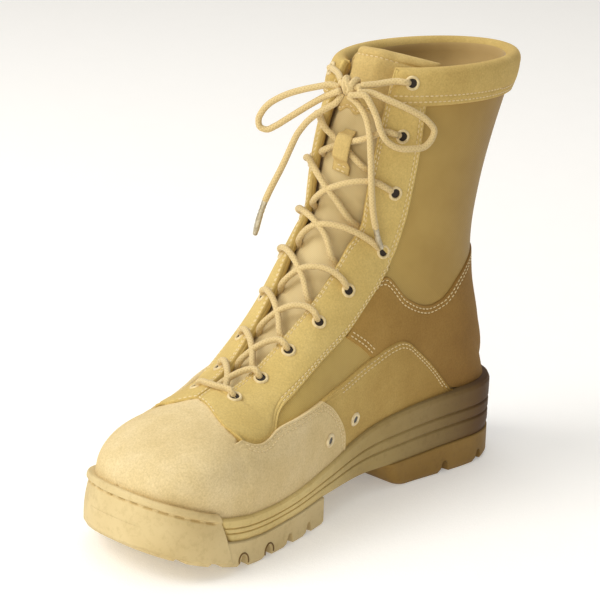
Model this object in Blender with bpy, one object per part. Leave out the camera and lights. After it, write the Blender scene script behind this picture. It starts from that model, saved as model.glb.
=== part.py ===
"""Right military boot: derby-laced leather and nylon upper on a moulded lug sole.

Tables are in millimetres. from_heel is the distance from the back of the sole towards the toe, +X is
the medial side and height is measured from the floor. The toe points along -Y.
"""

import bmesh
import bpy
import numpy as np

MM = 0.001
LENGTH = 305.0
CENTRE_X = 4.34
CENTRE_FROM_HEEL = 147.28

WALL = 2.4
COLLAR_PADDING = 3.0
GAP = 0.3
OVERLAY = 1.4
LEDGE = 4.5
UPPER_TOE = 301.0
UPPER_HEEL = 3.0

TOE_START = {1: 238.0, -1: 212.0}
TOE_POWER = {1: 2.8, -1: 2.25}
HEEL_ROUND, HEEL_POWER = 40.0, 2.3

BUMPER_WALL = 6.0
SHOULDER_LOW, SHOULDER_HIGH = 264.0, 272.0
FOREFOOT_BACK = 176.0
BREAST_LOW, BREAST_HIGH = 101.0, 120.0
INSOLE_THICK = 3.0
TONGUE_THICK = 3.5
TONGUE_UNDER = 13.0

EYELET_OUTER, EYELET_HOLE, EYELET_HIGH = 4.3, 2.0, 1.2
EYELET_FROM_EDGE = 7.5
VENT_OUTER, VENT_HOLE, VENT_HIGH = 4.3, 1.9, 1.1
CORD, TIP = 1.9, 1.5

# Sole outline: from_heel, centre, half width.
OUTLINE = (
    (0, 0, 37.5),
    (45, 0, 38.5),
    (95, -2, 37.5),
    (130, -3.5, 38.5),
    (170, -2, 46.5),
    (205, 0, 53.5),
    (235, 3.5, 55),
    (265, 7.5, 55),
    (305, 11, 54),
)
# Feather line, where the upper meets the sole: from_heel, height.
FEATHER = (
    (0, 51.5),
    (35, 50.9),
    (65, 50.0),
    (88, 48.2),
    (111, 45.0),
    (139, 38.8),
    (163, 34.4),
    (194, 30.2),
    (228, 28.0),
    (258, 30.4),
    (274, 34.0),
    (288, 38.6),
    (310, 46.0),
)
# Line between midsole and outsole: from_heel, height.
SPLIT = (
    (0, 18.0),
    (60, 17.8),
    (85, 16.2),
    (105, 15.4),
    (140, 15.8),
    (176, 16.6),
    (214, 15.4),
    (240, 15.0),
    (265, 18.4),
    (288, 25.0),
    (310, 31.5),
)
# Underside of the tread with its toe spring: from_heel, height.
TREAD = ((0, 0), (205, 0), (240, 0), (252, 1.2), (267, 4.8), (287, 10.0), (301, 14.6), (312, 18.4))
# Side of the midsole from its bottom up: share of the height, step outwards.
MIDSOLE_STEPS = (
    (0.0, -0.4),
    (0.30, 0.4),
    (0.355, -0.9),
    (0.41, 0.2),
    (0.53, 0.2),
    (0.585, -0.9),
    (0.64, 0.3),
    (0.93, 0.3),
    (1.0, -0.8),
)
# Upper's sections, toe to collar. The back height counts from the heel row on, where the rows are rings:
# from_heel, back height, top from_heel, top height, ridge x, half width, rise, medial and lateral roundness.
SECTIONS = (
    (301.0, 0.0, 301.0, 70.0, 15.0, 49.5, 0.32, 2.6, 2.35),
    (275.0, 0.0, 275.0, 73.5, 14.0, 50.5, 0.32, 2.5, 2.1),
    (245.0, 0.0, 244.0, 78.5, 10.5, 51.2, 0.31, 1.95, 1.45),
    (215.0, 0.0, 212.0, 87.5, 6.0, 50.4, 0.31, 1.9, 1.4),
    (185.0, 0.0, 185.5, 105.0, 2.0, 46.2, 0.32, 2.0, 1.55),
    (150.0, 0.0, 165.5, 124.5, -1.0, 41.6, 0.33, 2.0, 1.8),
    (112.0, 0.0, 152.6, 143.5, -2.5, 39.0, 0.36, 2.0, 2.0),
    (65.0, 0.0, 145.3, 158.5, -2.6, 38.2, 0.40, 2.0, 2.0),
    (25.0, 23.0, 141.6, 167.0, -2.0, 37.8, 0.42, 2.0, 2.0),
    (3.0, 51.5, 139.9, 174.8, -1.2, 37.4, 0.44, 2.0, 2.0),
    (8.0, 80.0, 139.4, 184.0, -0.5, 37.1, 0.45, 2.0, 2.0),
    (17.5, 110.0, 137.8, 195.6, 0.0, 36.8, 0.46, 2.0, 2.0),
    (20.5, 140.0, 134.6, 207.6, 0.0, 37.2, 0.47, 2.0, 2.0),
    (16.3, 170.0, 130.4, 218.6, 0.0, 38.7, 0.48, 2.0, 2.0),
    (7.4, 202.0, 125.7, 230.8, 0.0, 40.4, 0.48, 2.0, 2.0),
    (-3.1, 231.0, 120.2, 243.3, 0.0, 42.3, 0.49, 2.0, 2.0),
    (-11.0, 253.0, 114.6, 252.8, 0.0, 43.8, 0.50, 2.0, 2.0),
    (-17.0, 272.0, 109.4, 261.8, 0.0, 44.8, 0.50, 2.0, 2.0),
)
HEEL_ROW = 9
COLLAR_ROW = 16
THROAT_ROW = 2.45
SIDE_SHARE = 0.42
WIDEST = 0.9
# Half opening of the throat from the ridge: row, medial, lateral.
THROAT = (
    (0, 7.5, 4.5),
    (2.45, 8, 5),
    (3.25, 10.5, 6.5),
    (4, 13.5, 8.5),
    (5, 17.5, 9.5),
    (6, 20, 10),
    (8, 20.5, 10),
    (10, 21.5, 10),
    (12, 22.5, 10),
    (14, 22.5, 10),
    (17, 21, 9),
)
# Depth of the tongue's face under the upper's: row, depth.
TONGUE_DEPTH = ((1.5, 4.6), (8, 4.6), (11.5, 4.6), (12.6, 4.6), (13.2, 5.0), (14.4, 7.4), (17, 7.6))
EYELET_ROWS = (15.2, 13.3, 11.3, 8.3, 6.2, 5.0, 4.0, 3.2, 2.5)
# Vents on the medial side: row, share up the side.
VENTS = ((5.26, 0.22), (4.41, 0.27))

# Lace over the front: row, out from the ridge (medial positive), lift over the upper.
KNOT = (14.62, 7.0, 9.5)
KNOT_SIZE = (6.3, 4.9, 4.6)
TOP_MEDIAL = ((15.2, 24.3, 5.2), (15.1, 21, 5.4), (14.95, 17.5, 6.6))
TOP_LATERAL = ((15.2, -11.4, 5.1), (15.15, -8, 5.8), (15.02, -3.5, 7.0))
LOOP_MEDIAL = (
    (14.55, 16.0, 8.6),
    (14.46, 21.0, 8.2),
    (14.35, 26.0, 8.0),
    (14.2, 31.0, 7.8),
    (14.0, 34.5, 7.6),
    (13.75, 36.2, 7.6),
    (13.5, 36.3, 7.8),
    (13.25, 34.5, 8.0),
    (13.02, 31.5, 8.4),
    (12.88, 28.0, 8.8),
    (12.98, 24.5, 9.2),
    (13.3, 22.0, 9.8),
    (13.7, 20.0, 10.4),
    (14.1, 17.2, 11.0),
    (14.36, 14.6, 11.6),
)
END_MEDIAL = (
    (14.08, 11.0, 7.9),
    (13.88, 13.6, 7.4),
    (13.65, 15.8, 7.2),
    (13.3, 17.8, 7.6),
    (12.95, 19.0, 8.2),
    (12.6, 19.8, 8.4),
    (12.2, 20.5, 8.4),
    (11.8, 21.1, 8.4),
    (11.4, 21.6, 8.4),
    (11.0, 22.2, 8.4),
    (10.6, 22.7, 8.4),
    (10.2, 23.2, 8.2),
    (9.85, 23.8, 8.0),
    (9.5, 24.4, 7.8),
)
TIP_MEDIAL = ((9.475, 24.45, 7.77), (8.9, 25.4, 7.2), (8.3, 26.6, 6.8))
# Where each length leaves the knot: across it, down along the throat, out of the throat.
PORTS = {
    "top_medial": (6.9, -1.8, 0.0),
    "top_lateral": (-6.9, -1.8, -0.5),
    "loop_medial": (6.6, 2.4, 1.5),
    "loop_medial_back": (2.8, 5.4, 2.6),
    "end_medial": (0.4, 5.8, -1.0),
    "loop_lateral": (-6.6, 2.2, 1.2),
    "loop_lateral_back": (-4.2, 4.6, 3.4),
    "end_lateral": (-3.9, 5.6, -0.6),
}
# The other half of the bow hangs free: reach away from the knot, drop below it.
LOOP_WAY, END_WAY = (-0.857, 0.514), (-0.74, 0.67)
LOOP_LATERAL = (
    (11.4, 0.2),
    (16.0, 1.2),
    (21.0, 2.5),
    (28.0, 4.6),
    (35.5, 7.4),
    (42.0, 10.8),
    (47.2, 14.6),
    (51.0, 19.4),
    (52.8, 24.0),
    (51.8, 28.2),
    (48.0, 29.4),
    (43.0, 27.0),
    (37.0, 22.8),
    (29.0, 17.0),
    (21.0, 11.4),
    (14.0, 7.0),
)
END_LATERAL = (
    (8.0, 10.2),
    (12.4, 13.0),
    (16.4, 15.6),
    (20.2, 18.4),
    (23.6, 21.6),
    (26.4, 25.2),
    (29.0, 29.2),
    (31.4, 34.6),
    (33.6, 40.2),
    (35.8, 45.8),
    (38.2, 51.4),
    (40.8, 57.0),
    (43.4, 62.8),
    (45.8, 68.8),
)
TIP_LATERAL = ((46.0, 69.4), (48.8, 79.0), (51.0, 89.2))
# Strap on the tongue that the second crossing runs under: row, lift.
KEEPER = ((12.95, -4.2), (12.8, -1.8), (12.6, 2.6), (11.9, 3.4), (11.2, 2.6), (10.95, -1.8), (10.2, -4.2))
KEEPER_OUT, KEEPER_HALF, KEEPER_THICK = 8.5, 4.2, 1.0

# Pattern edges seen from the side: from_heel, height.
CUFF_EDGE = ((160, 234.6), (92, 234.4), (36, 233.0), (-40, 231.5))
EYESTAY_BACK = (
    (93.6, 233.6),
    (96.4, 208.3),
    (100.7, 178.5),
    (104.0, 160.0),
    (109.0, 143.0),
    (117.0, 132.5),
    (131.0, 119.0),
    (148.4, 104.6),
    (172.9, 92.4),
    (193.7, 82.0),
    (213.0, 72.6),
    (219.5, 66.9),
)
FLAP_EDGE = ((233.0, 63.8), (244.8, 66.3), (248.9, 71.3), (247.0, 75.6), (239.0, 80.4), (228.0, 85.0))
VAMP_EDGE = (
    (228.0, 86.0),
    (239.5, 80.9),
    (247.6, 76.0),
    (249.6, 71.2),
    (245.2, 65.7),
    (233.0, 63.2),
    (220.6, 65.9),
    (200.9, 70.1),
    (178.5, 74.1),
    (164.4, 62.6),
    (154.3, 48.2),
    (150.0, 20.0),
)
FOXING_EDGE = (
    (149.5, 20.0),
    (153.8, 48.4),
    (164.0, 63.0),
    (178.0, 74.2),
    (154.0, 79.6),
    (128.4, 88.1),
    (114.0, 92.4),
    (106.0, 92.9),
    (99.5, 91.0),
    (92.8, 85.8),
    (73.8, 69.9),
    (62.0, 58.5),
    (53.5, 46.0),
    (52.0, 20.0),
)
COUNTER_TOP = (
    (116.6, 131.9),
    (98.8, 117.3),
    (88.0, 111.6),
    (80.0, 110.0),
    (72.0, 111.4),
    (54.7, 123.9),
    (36.0, 134.0),
    (-40.0, 139.0),
)
COUNTER_LOW = (
    (51.5, 20.0),
    (53.0, 46.4),
    (61.6, 58.9),
    (73.4, 70.3),
    (92.4, 86.2),
    (99.2, 91.5),
    (106.0, 93.4),
    (114.2, 92.9),
    (129.6, 88.6),
    (147.5, 104.2),
    (130.4, 118.6),
)


def hermite(table, at):
    """Smooth curve through a table whose first column is the parameter."""
    table = np.asarray(table, float)
    knots, values = table[:, 0], table[:, 1:]
    at = np.asarray(at, float)
    slopes = np.gradient(values, knots, axis=0)
    i = np.clip(np.searchsorted(knots, at) - 1, 0, len(knots) - 2)
    step = (knots[i + 1] - knots[i])[..., None]
    f = (at - knots[i])[..., None] / step
    start = (2 * f**3 - 3 * f**2 + 1) * values[i] + (f**3 - 2 * f**2 + f) * step * slopes[i]
    return start + (3 * f**2 - 2 * f**3) * values[i + 1] + (f**3 - f**2) * step * slopes[i + 1]


def height(table, from_heel):
    return hermite(table, from_heel)[..., 0]


def tread(from_heel):
    return np.maximum(height(TREAD, from_heel), 0.0)


def toe_cap(u, toe, side):
    start, power = TOE_START[side], TOE_POWER[side]
    return (1 - np.clip((u - start) / (toe - start), 0, 1) ** power) ** (1 / power)


def heel_cap(u, heel):
    share = np.clip((HEEL_ROUND - u) / (HEEL_ROUND - heel), 0, 1)
    return (1 - share**HEEL_POWER) ** (1 / HEEL_POWER)


def outline(u, side, step=0.0, toe=LENGTH, heel=0.0):
    """x of the sole's edge, moved outwards by step, with its toe and heel ends where they are told."""
    row = hermite(OUTLINE, u)
    return row[..., 0] + side * (row[..., 1] + step) * toe_cap(u, toe, side) * heel_cap(u, heel)


def upper(rows, share, side):
    """Points of the upper: rows along it, share 0 at the feather or back and 1 on the ridge."""
    rows = np.asarray(rows, float)[:, None]
    share = np.broadcast_to(np.asarray(share, float), (len(rows), np.shape(share)[-1]))
    table = np.column_stack([np.arange(len(SECTIONS)), np.asarray(SECTIONS)])
    low_u, low_z, top_u, top_z, ridge, half, rise, medial, lateral = np.moveaxis(
        hermite(table, rows[:, 0])[:, None, :], -1, 0
    )
    power = medial if side > 0 else lateral
    foot = rows <= HEEL_ROW
    low_u = np.minimum(low_u, UPPER_TOE)
    u = np.clip(low_u, UPPER_HEEL, UPPER_TOE)
    base = outline(u, side, -LEDGE, UPPER_TOE, UPPER_HEEL)
    centre = np.where(foot, hermite(OUTLINE, u)[..., 0], ridge)
    base = np.where(foot, np.abs(base - centre), 0.0)
    low_z = np.where(foot, height(FEATHER, u), low_z)
    cap = np.where(rows < 5, toe_cap(u, UPPER_TOE, side), 1.0)
    half = np.maximum(half * cap, base + 0.3 * cap)
    blunt = np.clip((u - TOE_START[1]) / (UPPER_TOE - TOE_START[1]), 0, 1)
    drop = (1 - blunt**2.4) ** (1 / 2.4)
    top_z = np.where(rows < 3, low_z + 3 + (top_z - low_z - 3) * drop, top_z)
    tuck = np.sqrt(1 - np.clip(base / np.maximum(half, 1e-6), 0, 1) ** 2)
    angle = np.arcsin(tuck) * (1 - np.clip(share / SIDE_SHARE, 0, 1))
    over = np.clip((share - SIDE_SHARE) / (1 - SIDE_SHARE), 0, 1) * np.pi / 2
    side_up = rise * (1 - np.sin(angle) / np.maximum(tuck, 1e-6))
    over_up = rise + (1 - rise) * np.sin(over) ** (2 / power)
    over_out = half * np.clip(np.cos(over), 0, 1) ** (2 / power)
    up = np.where(share > SIDE_SHARE, over_up, side_up)
    out = np.where(share > SIDE_SHARE, over_out, half * np.cos(angle))
    x = centre * (1 - up) + ridge * up + side * out
    return np.stack([x, low_u + (top_u - low_u) * up, low_z + (top_z - low_z) * up], -1)


def share_at(rows, out, side):
    """Share up each row's side at which the surface is this far out from the ridge."""
    steps = np.linspace(SIDE_SHARE, 1, 240)
    table = np.column_stack([np.arange(len(SECTIONS)), np.asarray(SECTIONS)])
    ridge = hermite(table, rows)[:, 4]
    wide = np.abs(upper(rows, steps, side)[..., 0] - ridge[:, None])
    found = [np.interp(min(o, WIDEST * w[0]), w[::-1], steps[::-1]) for o, w in zip(out, wide)]
    return np.array(found)


def on_upper(row, share, side, lift):
    """A point over the upper with the surface's normal there."""
    near = upper([row - 0.02, row, row + 0.02], [share - 0.004, share, share + 0.004], side)
    normal = np.cross(near[2, 1] - near[0, 1], near[1, 2] - near[1, 0])
    normal = -side * normal / np.linalg.norm(normal)
    return near[1, 1] + lift * normal, normal


def over_throat(row, out, lift):
    """A point over the throat: out from the ridge, positive on the medial side."""
    side = 1 if out >= 0 else -1
    return on_upper(row, share_at(np.array([row]), [abs(out)], side)[0], side, lift)[0]


def linear(*colour):
    srgb = np.array(colour) / 255
    return tuple(np.where(srgb > 0.04045, ((srgb + 0.055) / 1.055) ** 2.4, srgb / 12.92))


def material(name, colour, roughness, metallic=0.0):
    made = bpy.data.materials.new(name)
    made.use_nodes = True
    shader = made.node_tree.nodes["Principled BSDF"]
    shader.inputs["Base Color"].default_value = (*linear(*colour), 1.0)
    shader.inputs["Roughness"].default_value = roughness
    shader.inputs["Metallic"].default_value = metallic
    return made


def collection(name):
    made = bpy.data.collections.new(name)
    bpy.context.scene.collection.children.link(made)
    return made


def placed(points):
    """From the tables' frame to metres in the boot's own."""
    points = np.asarray(points, float)
    return np.column_stack([points[:, 0] - CENTRE_X, CENTRE_FROM_HEEL - points[:, 1], points[:, 2]]) * MM


def welded(points, faces):
    """Points that coincide made one, and the faces that collapse dropped."""
    points = np.asarray(points, float)
    _, first, index = np.unique(np.round(points, 4), axis=0, return_index=True, return_inverse=True)
    index = index.reshape(-1)
    kept = []
    for face in faces:
        ring = [int(index[v]) for v in face]
        ring = [v for k, v in enumerate(ring) if v != ring[k - 1]]
        if len(set(ring)) > 2:
            kept.append(tuple(ring))
    return points[first], kept, index


def add(name, points, faces, look, group):
    points, faces, _ = welded(points, faces)
    mesh = bpy.data.meshes.new(name)
    mesh.from_pydata(placed(points).tolist(), [], faces)
    work = bmesh.new()
    work.from_mesh(mesh)
    bmesh.ops.triangulate(work, faces=work.faces[:])
    bmesh.ops.recalc_face_normals(work, faces=work.faces[:])
    work.to_mesh(mesh)
    work.free()
    made = bpy.data.objects.new(name, mesh)
    if look:
        mesh.materials.append(look)
    group.objects.link(made)
    if group is HELPERS:
        made.hide_render = True
        made.display_type = "WIRE"
    return made


def boolean(made, operation, other):
    change = made.modifiers.new(f"{operation.lower()} {other.name}", "BOOLEAN")
    change.operation = operation
    change.solver = "EXACT"
    change.object = other


def eased(start, end, count, ease):
    """Stations from start to end, closer together towards the end that is named."""
    t = np.linspace(0, 1, count)
    shape = np.sin(np.pi * t / 2) if ease == "end" else 1 - np.cos(np.pi * t / 2)
    return start + (end - start) * shape


def slab(rings):
    """Closed solid through rings, bottom to top. A ring holds from_heel, medial x, lateral x and height."""
    points, faces = [], []
    count = len(rings[0][0])
    for u, medial, lateral, z in rings:
        points += [np.stack([medial, u, z], -1), np.stack([lateral, u, z], -1)[::-1]]
    points = np.concatenate(points)
    loop = 2 * count
    for level in range(len(rings) - 1):
        base = level * loop
        for k in range(loop):
            n = (k + 1) % loop
            faces.append((base + k, base + n, base + loop + n, base + loop + k))
    for base in (0, (len(rings) - 1) * loop):
        for k in range(count - 1):
            faces.append((base + k, base + k + 1, base + loop - 2 - k, base + loop - 1 - k))
    return points, faces


def tube(path, radius, sides=6):
    """Closed round tube along a path."""
    path = np.asarray(path, float)
    along = np.gradient(path, axis=0)
    along /= np.linalg.norm(along, axis=1)[:, None]
    frame = np.cross(along[0], (0.31, 0.22, 0.92))
    points, faces = [], []
    for here, way in zip(path, along):
        frame = frame - way * np.dot(frame, way)
        frame /= np.linalg.norm(frame)
        other = np.cross(way, frame)
        for k in range(sides):
            turn = 2 * np.pi * k / sides
            points.append(here + radius * (np.cos(turn) * frame + np.sin(turn) * other))
    for i in range(len(path) - 1):
        for k in range(sides):
            n = (k + 1) % sides
            faces.append((i * sides + k, i * sides + n, (i + 1) * sides + n, (i + 1) * sides + k))
    last = (len(path) - 1) * sides
    faces.append(tuple(range(sides))[::-1])
    faces.append(tuple(range(last, last + sides)))
    return np.array(points), faces


def washer(row, share, side, outer, hole, low, high, sides=7):
    """Ring that lies over the upper, from the lift low to the lift high."""
    centre, normal = on_upper(row, share, side, 0.0)
    across = np.cross(normal, (0.0, 0.3, 1.0))
    across /= np.linalg.norm(across)
    other = np.cross(normal, across)
    points, faces = [], []
    for k in range(sides):
        turn = 2 * np.pi * k / sides
        way = np.cos(turn) * across + np.sin(turn) * other
        for radius, lift in ((hole, low), (outer, low), (outer - 0.5, high), (hole + 0.3, high)):
            points.append(centre + radius * way + lift * normal)
    for k in range(sides):
        n = (k + 1) % sides
        for c in range(4):
            d = (c + 1) % 4
            faces.append((4 * k + c, 4 * n + c, 4 * n + d, 4 * k + d))
    return points, faces


def prism(name, edge, low_x, high_x):
    """Side-view pattern carried across the boot."""
    edge = np.asarray(edge, float)
    count = len(edge)
    points = [np.column_stack([np.full(count, x), edge]) for x in (low_x, high_x)]
    faces = [tuple(range(count)), tuple(range(2 * count - 1, count - 1, -1))]
    for k in range(count):
        n = (k + 1) % count
        faces.append((k, n, count + n, count + k))
    return add(name, np.concatenate(points), faces, None, HELPERS)


def upper_sheet():
    """The upper's surface as one welded grid, with its normals."""
    rows = np.array(
        [0, 0.05, 0.14, 0.28, 0.48, 0.75, 1.1, 1.5, 1.95, THROAT_ROW, 2.85, 3.25]
        + [3.7, 4.2, 4.7, 5.2, 5.7, 6.2, 6.7, 7.2, 7.7, 8.2, 8.5, 8.7, 8.84, 8.94, 9]
        + [9.5, 10.1, 10.8, 11.6, 12.5, 13.4, 14.3, 15.2, COLLAR_ROW]
    )
    side_count = 8
    opening = hermite(THROAT, rows) * np.clip(rows / 0.6, 0.02, 1)[:, None]
    edge = {1: share_at(rows, opening[:, 0], 1)[:, None], -1: share_at(rows, opening[:, 1], -1)[:, None]}
    up = np.linspace(0, 1, side_count + 1)
    half = np.array([0.5, 1.0])
    medial = np.hstack([edge[1] * up, edge[1] + (1 - edge[1]) * half])
    lateral = np.hstack([edge[-1] * up, edge[-1] + (1 - edge[-1]) * half[:1]])[:, ::-1]
    points = np.concatenate([upper(rows, medial, 1), upper(rows, lateral, -1)], 1)
    count, columns = points.shape[:2]
    middle = columns // 2
    points[0, middle + 1 :] = points[0, middle - 1 :: -1]
    points[rows >= HEEL_ROW, -1] = points[rows >= HEEL_ROW, 0]
    faces, throat = [], []
    for i in range(count - 1):
        for j in range(columns - 1):
            a, b = i * columns + j, (i + 1) * columns + j
            opened = rows[i] >= THROAT_ROW and side_count <= j < side_count + 4
            medial_side = ((a, a + 1, b + 1), (a, b + 1, b))
            lateral_side = ((a, a + 1, b), (a + 1, b + 1, b))
            for face in medial_side if (j < middle) != (i == 0) else lateral_side:
                faces.append(face)
                throat.append(opened)
    points = points.reshape(-1, 3)
    _, _, index = welded(points, [])
    flat = np.zeros((index.max() + 1, 3))
    flat[index] = points
    row_of = np.zeros(len(flat))
    row_of[index] = np.repeat(rows, columns)
    foot = np.zeros(len(flat), bool)
    on_edge = np.tile(np.isin(np.arange(columns), (0, columns - 1)), count)
    foot[index] = on_edge & (np.repeat(rows, columns) <= HEEL_ROW)
    corners = index[np.array(faces)]
    whole = np.all(corners != np.roll(corners, 1, axis=1), axis=1)
    area = np.cross(flat[corners[:, 1]] - flat[corners[:, 0]], flat[corners[:, 2]] - flat[corners[:, 0]])
    normals = np.zeros_like(flat)
    for c in range(3):
        np.add.at(normals, corners[:, c], area)
    normals /= np.linalg.norm(normals, axis=1)[:, None]
    if np.sum(normals * (flat - flat.mean(axis=0))) < 0:
        normals = -normals
        area = -area
    area /= np.linalg.norm(area, axis=1)[:, None] + 1e-9
    lean = np.ones(len(flat))
    for c in range(3):
        np.minimum.at(lean, corners[whole, c], np.sum(normals[corners[whole, c]] * area[whole], axis=1))
    normals /= np.clip(lean, 0.65, 1)[:, None]
    return {
        "points": flat,
        "normals": normals,
        "rows": row_of,
        "foot": foot,
        "faces": corners[whole & ~np.array(throat)],
    }


def lifted(sheet, lift):
    """The sheet moved along its normals, its lower edge kept on the feather line."""
    points = sheet["points"] + sheet["normals"] * np.reshape(lift, (-1, 1))
    points[sheet["foot"], 2] = height(FEATHER, np.clip(points[sheet["foot"], 1], 0, LENGTH))
    return points


def shell(sheet, low, high):
    """Closed wall between two lifts of the sheet."""
    faces = sheet["faces"]
    count = len(sheet["points"])
    points = np.concatenate([lifted(sheet, high), lifted(sheet, low)])
    ends = np.concatenate([faces[:, [0, 1]], faces[:, [1, 2]], faces[:, [2, 0]]])
    keys = {tuple(e) for e in ends.tolist()}
    rim = [(a, b) for a, b in keys if (b, a) not in keys]
    made = [tuple(f) for f in faces.tolist()]
    made += [tuple(v + count for v in f[::-1]) for f in faces.tolist()]
    made += [(b, a, a + count, b + count) for a, b in rim]
    used = np.unique(np.concatenate([np.array(f) for f in made]))
    order = np.full(2 * count, -1)
    order[used] = np.arange(len(used))
    return points[used], [tuple(int(order[v]) for v in f) for f in made]


def ring(u, step, z):
    """Outline ring with its heel and toe moved outwards by step."""
    toe, heel = LENGTH + np.max(step), -np.max(step)
    return u, outline(u, 1, step, toe, heel), outline(u, -1, step, toe, heel), z


def flare(u):
    """How far the tread stands out past the feather line, most at the toe."""
    return 0.8 + 2.4 * np.clip((u - 215) / 85, 0, 1) ** 1.3


def build_midsole():
    rings = []
    for share, step in MIDSOLE_STEPS:
        shoulder = SHOULDER_LOW + (SHOULDER_HIGH - SHOULDER_LOW) * share - GAP
        inner = -(BUMPER_WALL + GAP)
        back = np.concatenate([eased(-step, 44, 8, "start"), np.linspace(58, shoulder - 0.2, 15)])
        front = eased(shoulder, LENGTH + inner, 12, "end")
        u = np.concatenate([back, front])
        toe = LENGTH + inner
        sides = []
        for side in (1, -1):
            rear = outline(back, side, step, LENGTH + step, -step)
            sides.append(np.concatenate([rear, outline(front, side, inner, toe, 0.0)]))
        on = np.clip(u, 0, LENGTH)
        low, high = height(SPLIT, on) + GAP / 2, height(FEATHER, on) - GAP
        rings.append((u, sides[0], sides[1], low + (high - low) * share))
    return add("midsole", *slab(rings), SOLE_LOOK, PARTS)


def grooves(name, places):
    """Slanted slots that part the lugs, from both edges inwards: from_heel, slant, inner x, depth."""
    points, faces = [], []
    for u, slant, inner, depth in places:
        centre = hermite(OUTLINE, np.array(u))[0]
        top = float(tread(np.array(u))) + depth
        for side in (1, -1):
            base = len(points)
            for x in (inner, 80.0):
                for along in (-1.9, 1.9):
                    for z in (-9.0, top):
                        points.append((centre + side * x, u + along + slant * (x - inner), z))
            faces += [tuple(base + v for v in f) for f in BOX]
    return add(name, points, faces, None, HELPERS)


BOX = ((0, 1, 3, 2), (4, 6, 7, 5), (0, 4, 5, 1), (2, 3, 7, 6), (0, 2, 6, 4), (1, 5, 7, 3))


def build_forefoot():
    end = LENGTH + float(flare(np.array(LENGTH)))
    rings = []
    for share, tuck in ((0.0, -1.2), (0.12, 0.0), (1.0, 0.0)):
        u = eased(FOREFOOT_BACK, end + tuck, 20, "end")
        on = np.minimum(u, LENGTH + 5)
        low, high = tread(on), height(SPLIT, on) - GAP / 2
        step = (flare(u) + tuck) * (1 - 0.25 * share)
        toe = end + tuck
        sides = [outline(u, side, step, toe, 0.0) for side in (1, -1)]
        rings.append((u, sides[0], sides[1], low + (high - low) * share))
    made = add("outsole_forefoot", *slab(rings), TREAD_LOOK, PARTS)
    boolean(made, "UNION", build_bumper())
    places = [(290, 0.10, 12, 4.0), (271, 0.08, 13, 4.2), (252, 0.05, 14, 4.5)]
    places += [(234, -0.04, 14, 4.8), (216, -0.10, 14, 4.8), (198, -0.14, 13, 4.8)]
    boolean(made, "DIFFERENCE", grooves("forefoot_grooves", places))
    return made


def build_bumper():
    """Wall that wraps the toe: a four-sided section carried round the outline."""
    points, faces = [], []
    count = 15
    low, high = SHOULDER_LOW - 0.5, SHOULDER_HIGH
    corners = (("low", 0.9, low), ("high", 0.0, high), ("high", None, high), ("low", None, low))
    for side in (1, -1):
        loops = []
        for level, spread, start in corners:
            inner = spread is None
            end = LENGTH - BUMPER_WALL if inner else LENGTH + 0.9 * spread * float(flare(np.array(LENGTH)))
            u = eased(start, end, count, "end")
            step = np.full(count, -BUMPER_WALL) if inner else spread * flare(u)
            on = np.minimum(u, LENGTH)
            z = height(SPLIT, on) - 2.5 if level == "low" else height(FEATHER, on) - GAP
            loops.append(np.stack([outline(u, side, step, end, 0.0), u, z], -1))
        block = np.stack(loops, 1)
        points.append(block if side > 0 else block[::-1])
    path = np.concatenate(points)
    total = len(path)
    for i in range(total - 1):
        for c in range(4):
            d = (c + 1) % 4
            faces.append((4 * i + c, 4 * i + 4 + c, 4 * i + 4 + d, 4 * i + d))
    faces += [(0, 1, 2, 3), tuple(4 * total - 4 + c for c in (3, 2, 1, 0))]
    return add("bumper", path.reshape(-1, 3), faces, None, HELPERS)


def build_heel():
    rings = []
    for share, step in ((0.0, -0.6), (0.14, 0.7), (1.0, 0.5)):
        end = BREAST_LOW + (BREAST_HIGH - BREAST_LOW) * share
        u = eased(-step, end, 16, "start")
        high = height(SPLIT, np.clip(u, 0, LENGTH)) - GAP / 2
        rings.append((*ring(u, step, high * share)[:3], high * share))
    made = add("outsole_heel", *slab(rings), HEEL_LOOK, PARTS)
    places = [(82, 0.06, 11, 4.8), (60, 0.0, 11, 4.8), (37, -0.08, 10, 4.8)]
    boolean(made, "DIFFERENCE", grooves("heel_grooves", places))
    return made


def build_insole():
    inset = -(LEDGE + WALL + 1.6)
    toe, heel = UPPER_TOE - WALL - 2.0, UPPER_HEEL + WALL + 5.0
    u = np.concatenate([eased(heel, 44, 7, "start"), np.linspace(56, 252, 16), eased(262, toe, 8, "end")])
    sides = [outline(u, side, inset, toe, heel) for side in (1, -1)]
    base = height(FEATHER, u)
    rings = [(u, sides[0], sides[1], base + up) for up in (GAP, INSOLE_THICK)]
    return add("insole", *slab(rings), LINING_LOOK, PARTS)


def build_tongue():
    rows = np.concatenate([np.linspace(1.5, 13.5, 17), np.linspace(14.1, 16.75, 5)])
    opening = hermite(THROAT, rows)
    reach = np.linspace(0.0, 1.0, 4)
    depth = height(TONGUE_DEPTH, rows)
    faces, grids = [], []
    for thick in (0.0, TONGUE_THICK):
        grid = []
        for row, (medial, lateral), deep in zip(rows, opening, depth):
            wide = np.concatenate([-(lateral + TONGUE_UNDER) * reach[:0:-1], (medial + TONGUE_UNDER) * reach])
            if row < THROAT_ROW:
                wide = wide * 0.8
            grid.append([over_throat(row, out, -deep - thick) for out in wide])
        grids.append(np.array(grid))
    count, across = grids[0].shape[:2]
    size = count * across
    for i in range(count - 1):
        for j in range(across - 1):
            a, b = i * across + j, (i + 1) * across + j
            faces += [(a, a + 1, b + 1, b), (size + a, size + b, size + b + 1, size + a + 1)]
    rim = [i * across for i in range(count)] + [(count - 1) * across + j for j in range(1, across)]
    rim += [i * across + across - 1 for i in range(count - 2, -1, -1)] + list(range(across - 2, 0, -1))
    for k, a in enumerate(rim):
        b = rim[(k + 1) % len(rim)]
        faces.append((a, b, size + b, size + a))
    return add("tongue", np.concatenate([g.reshape(-1, 3) for g in grids]), faces, TONGUE_LOOK, PARTS)


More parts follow.
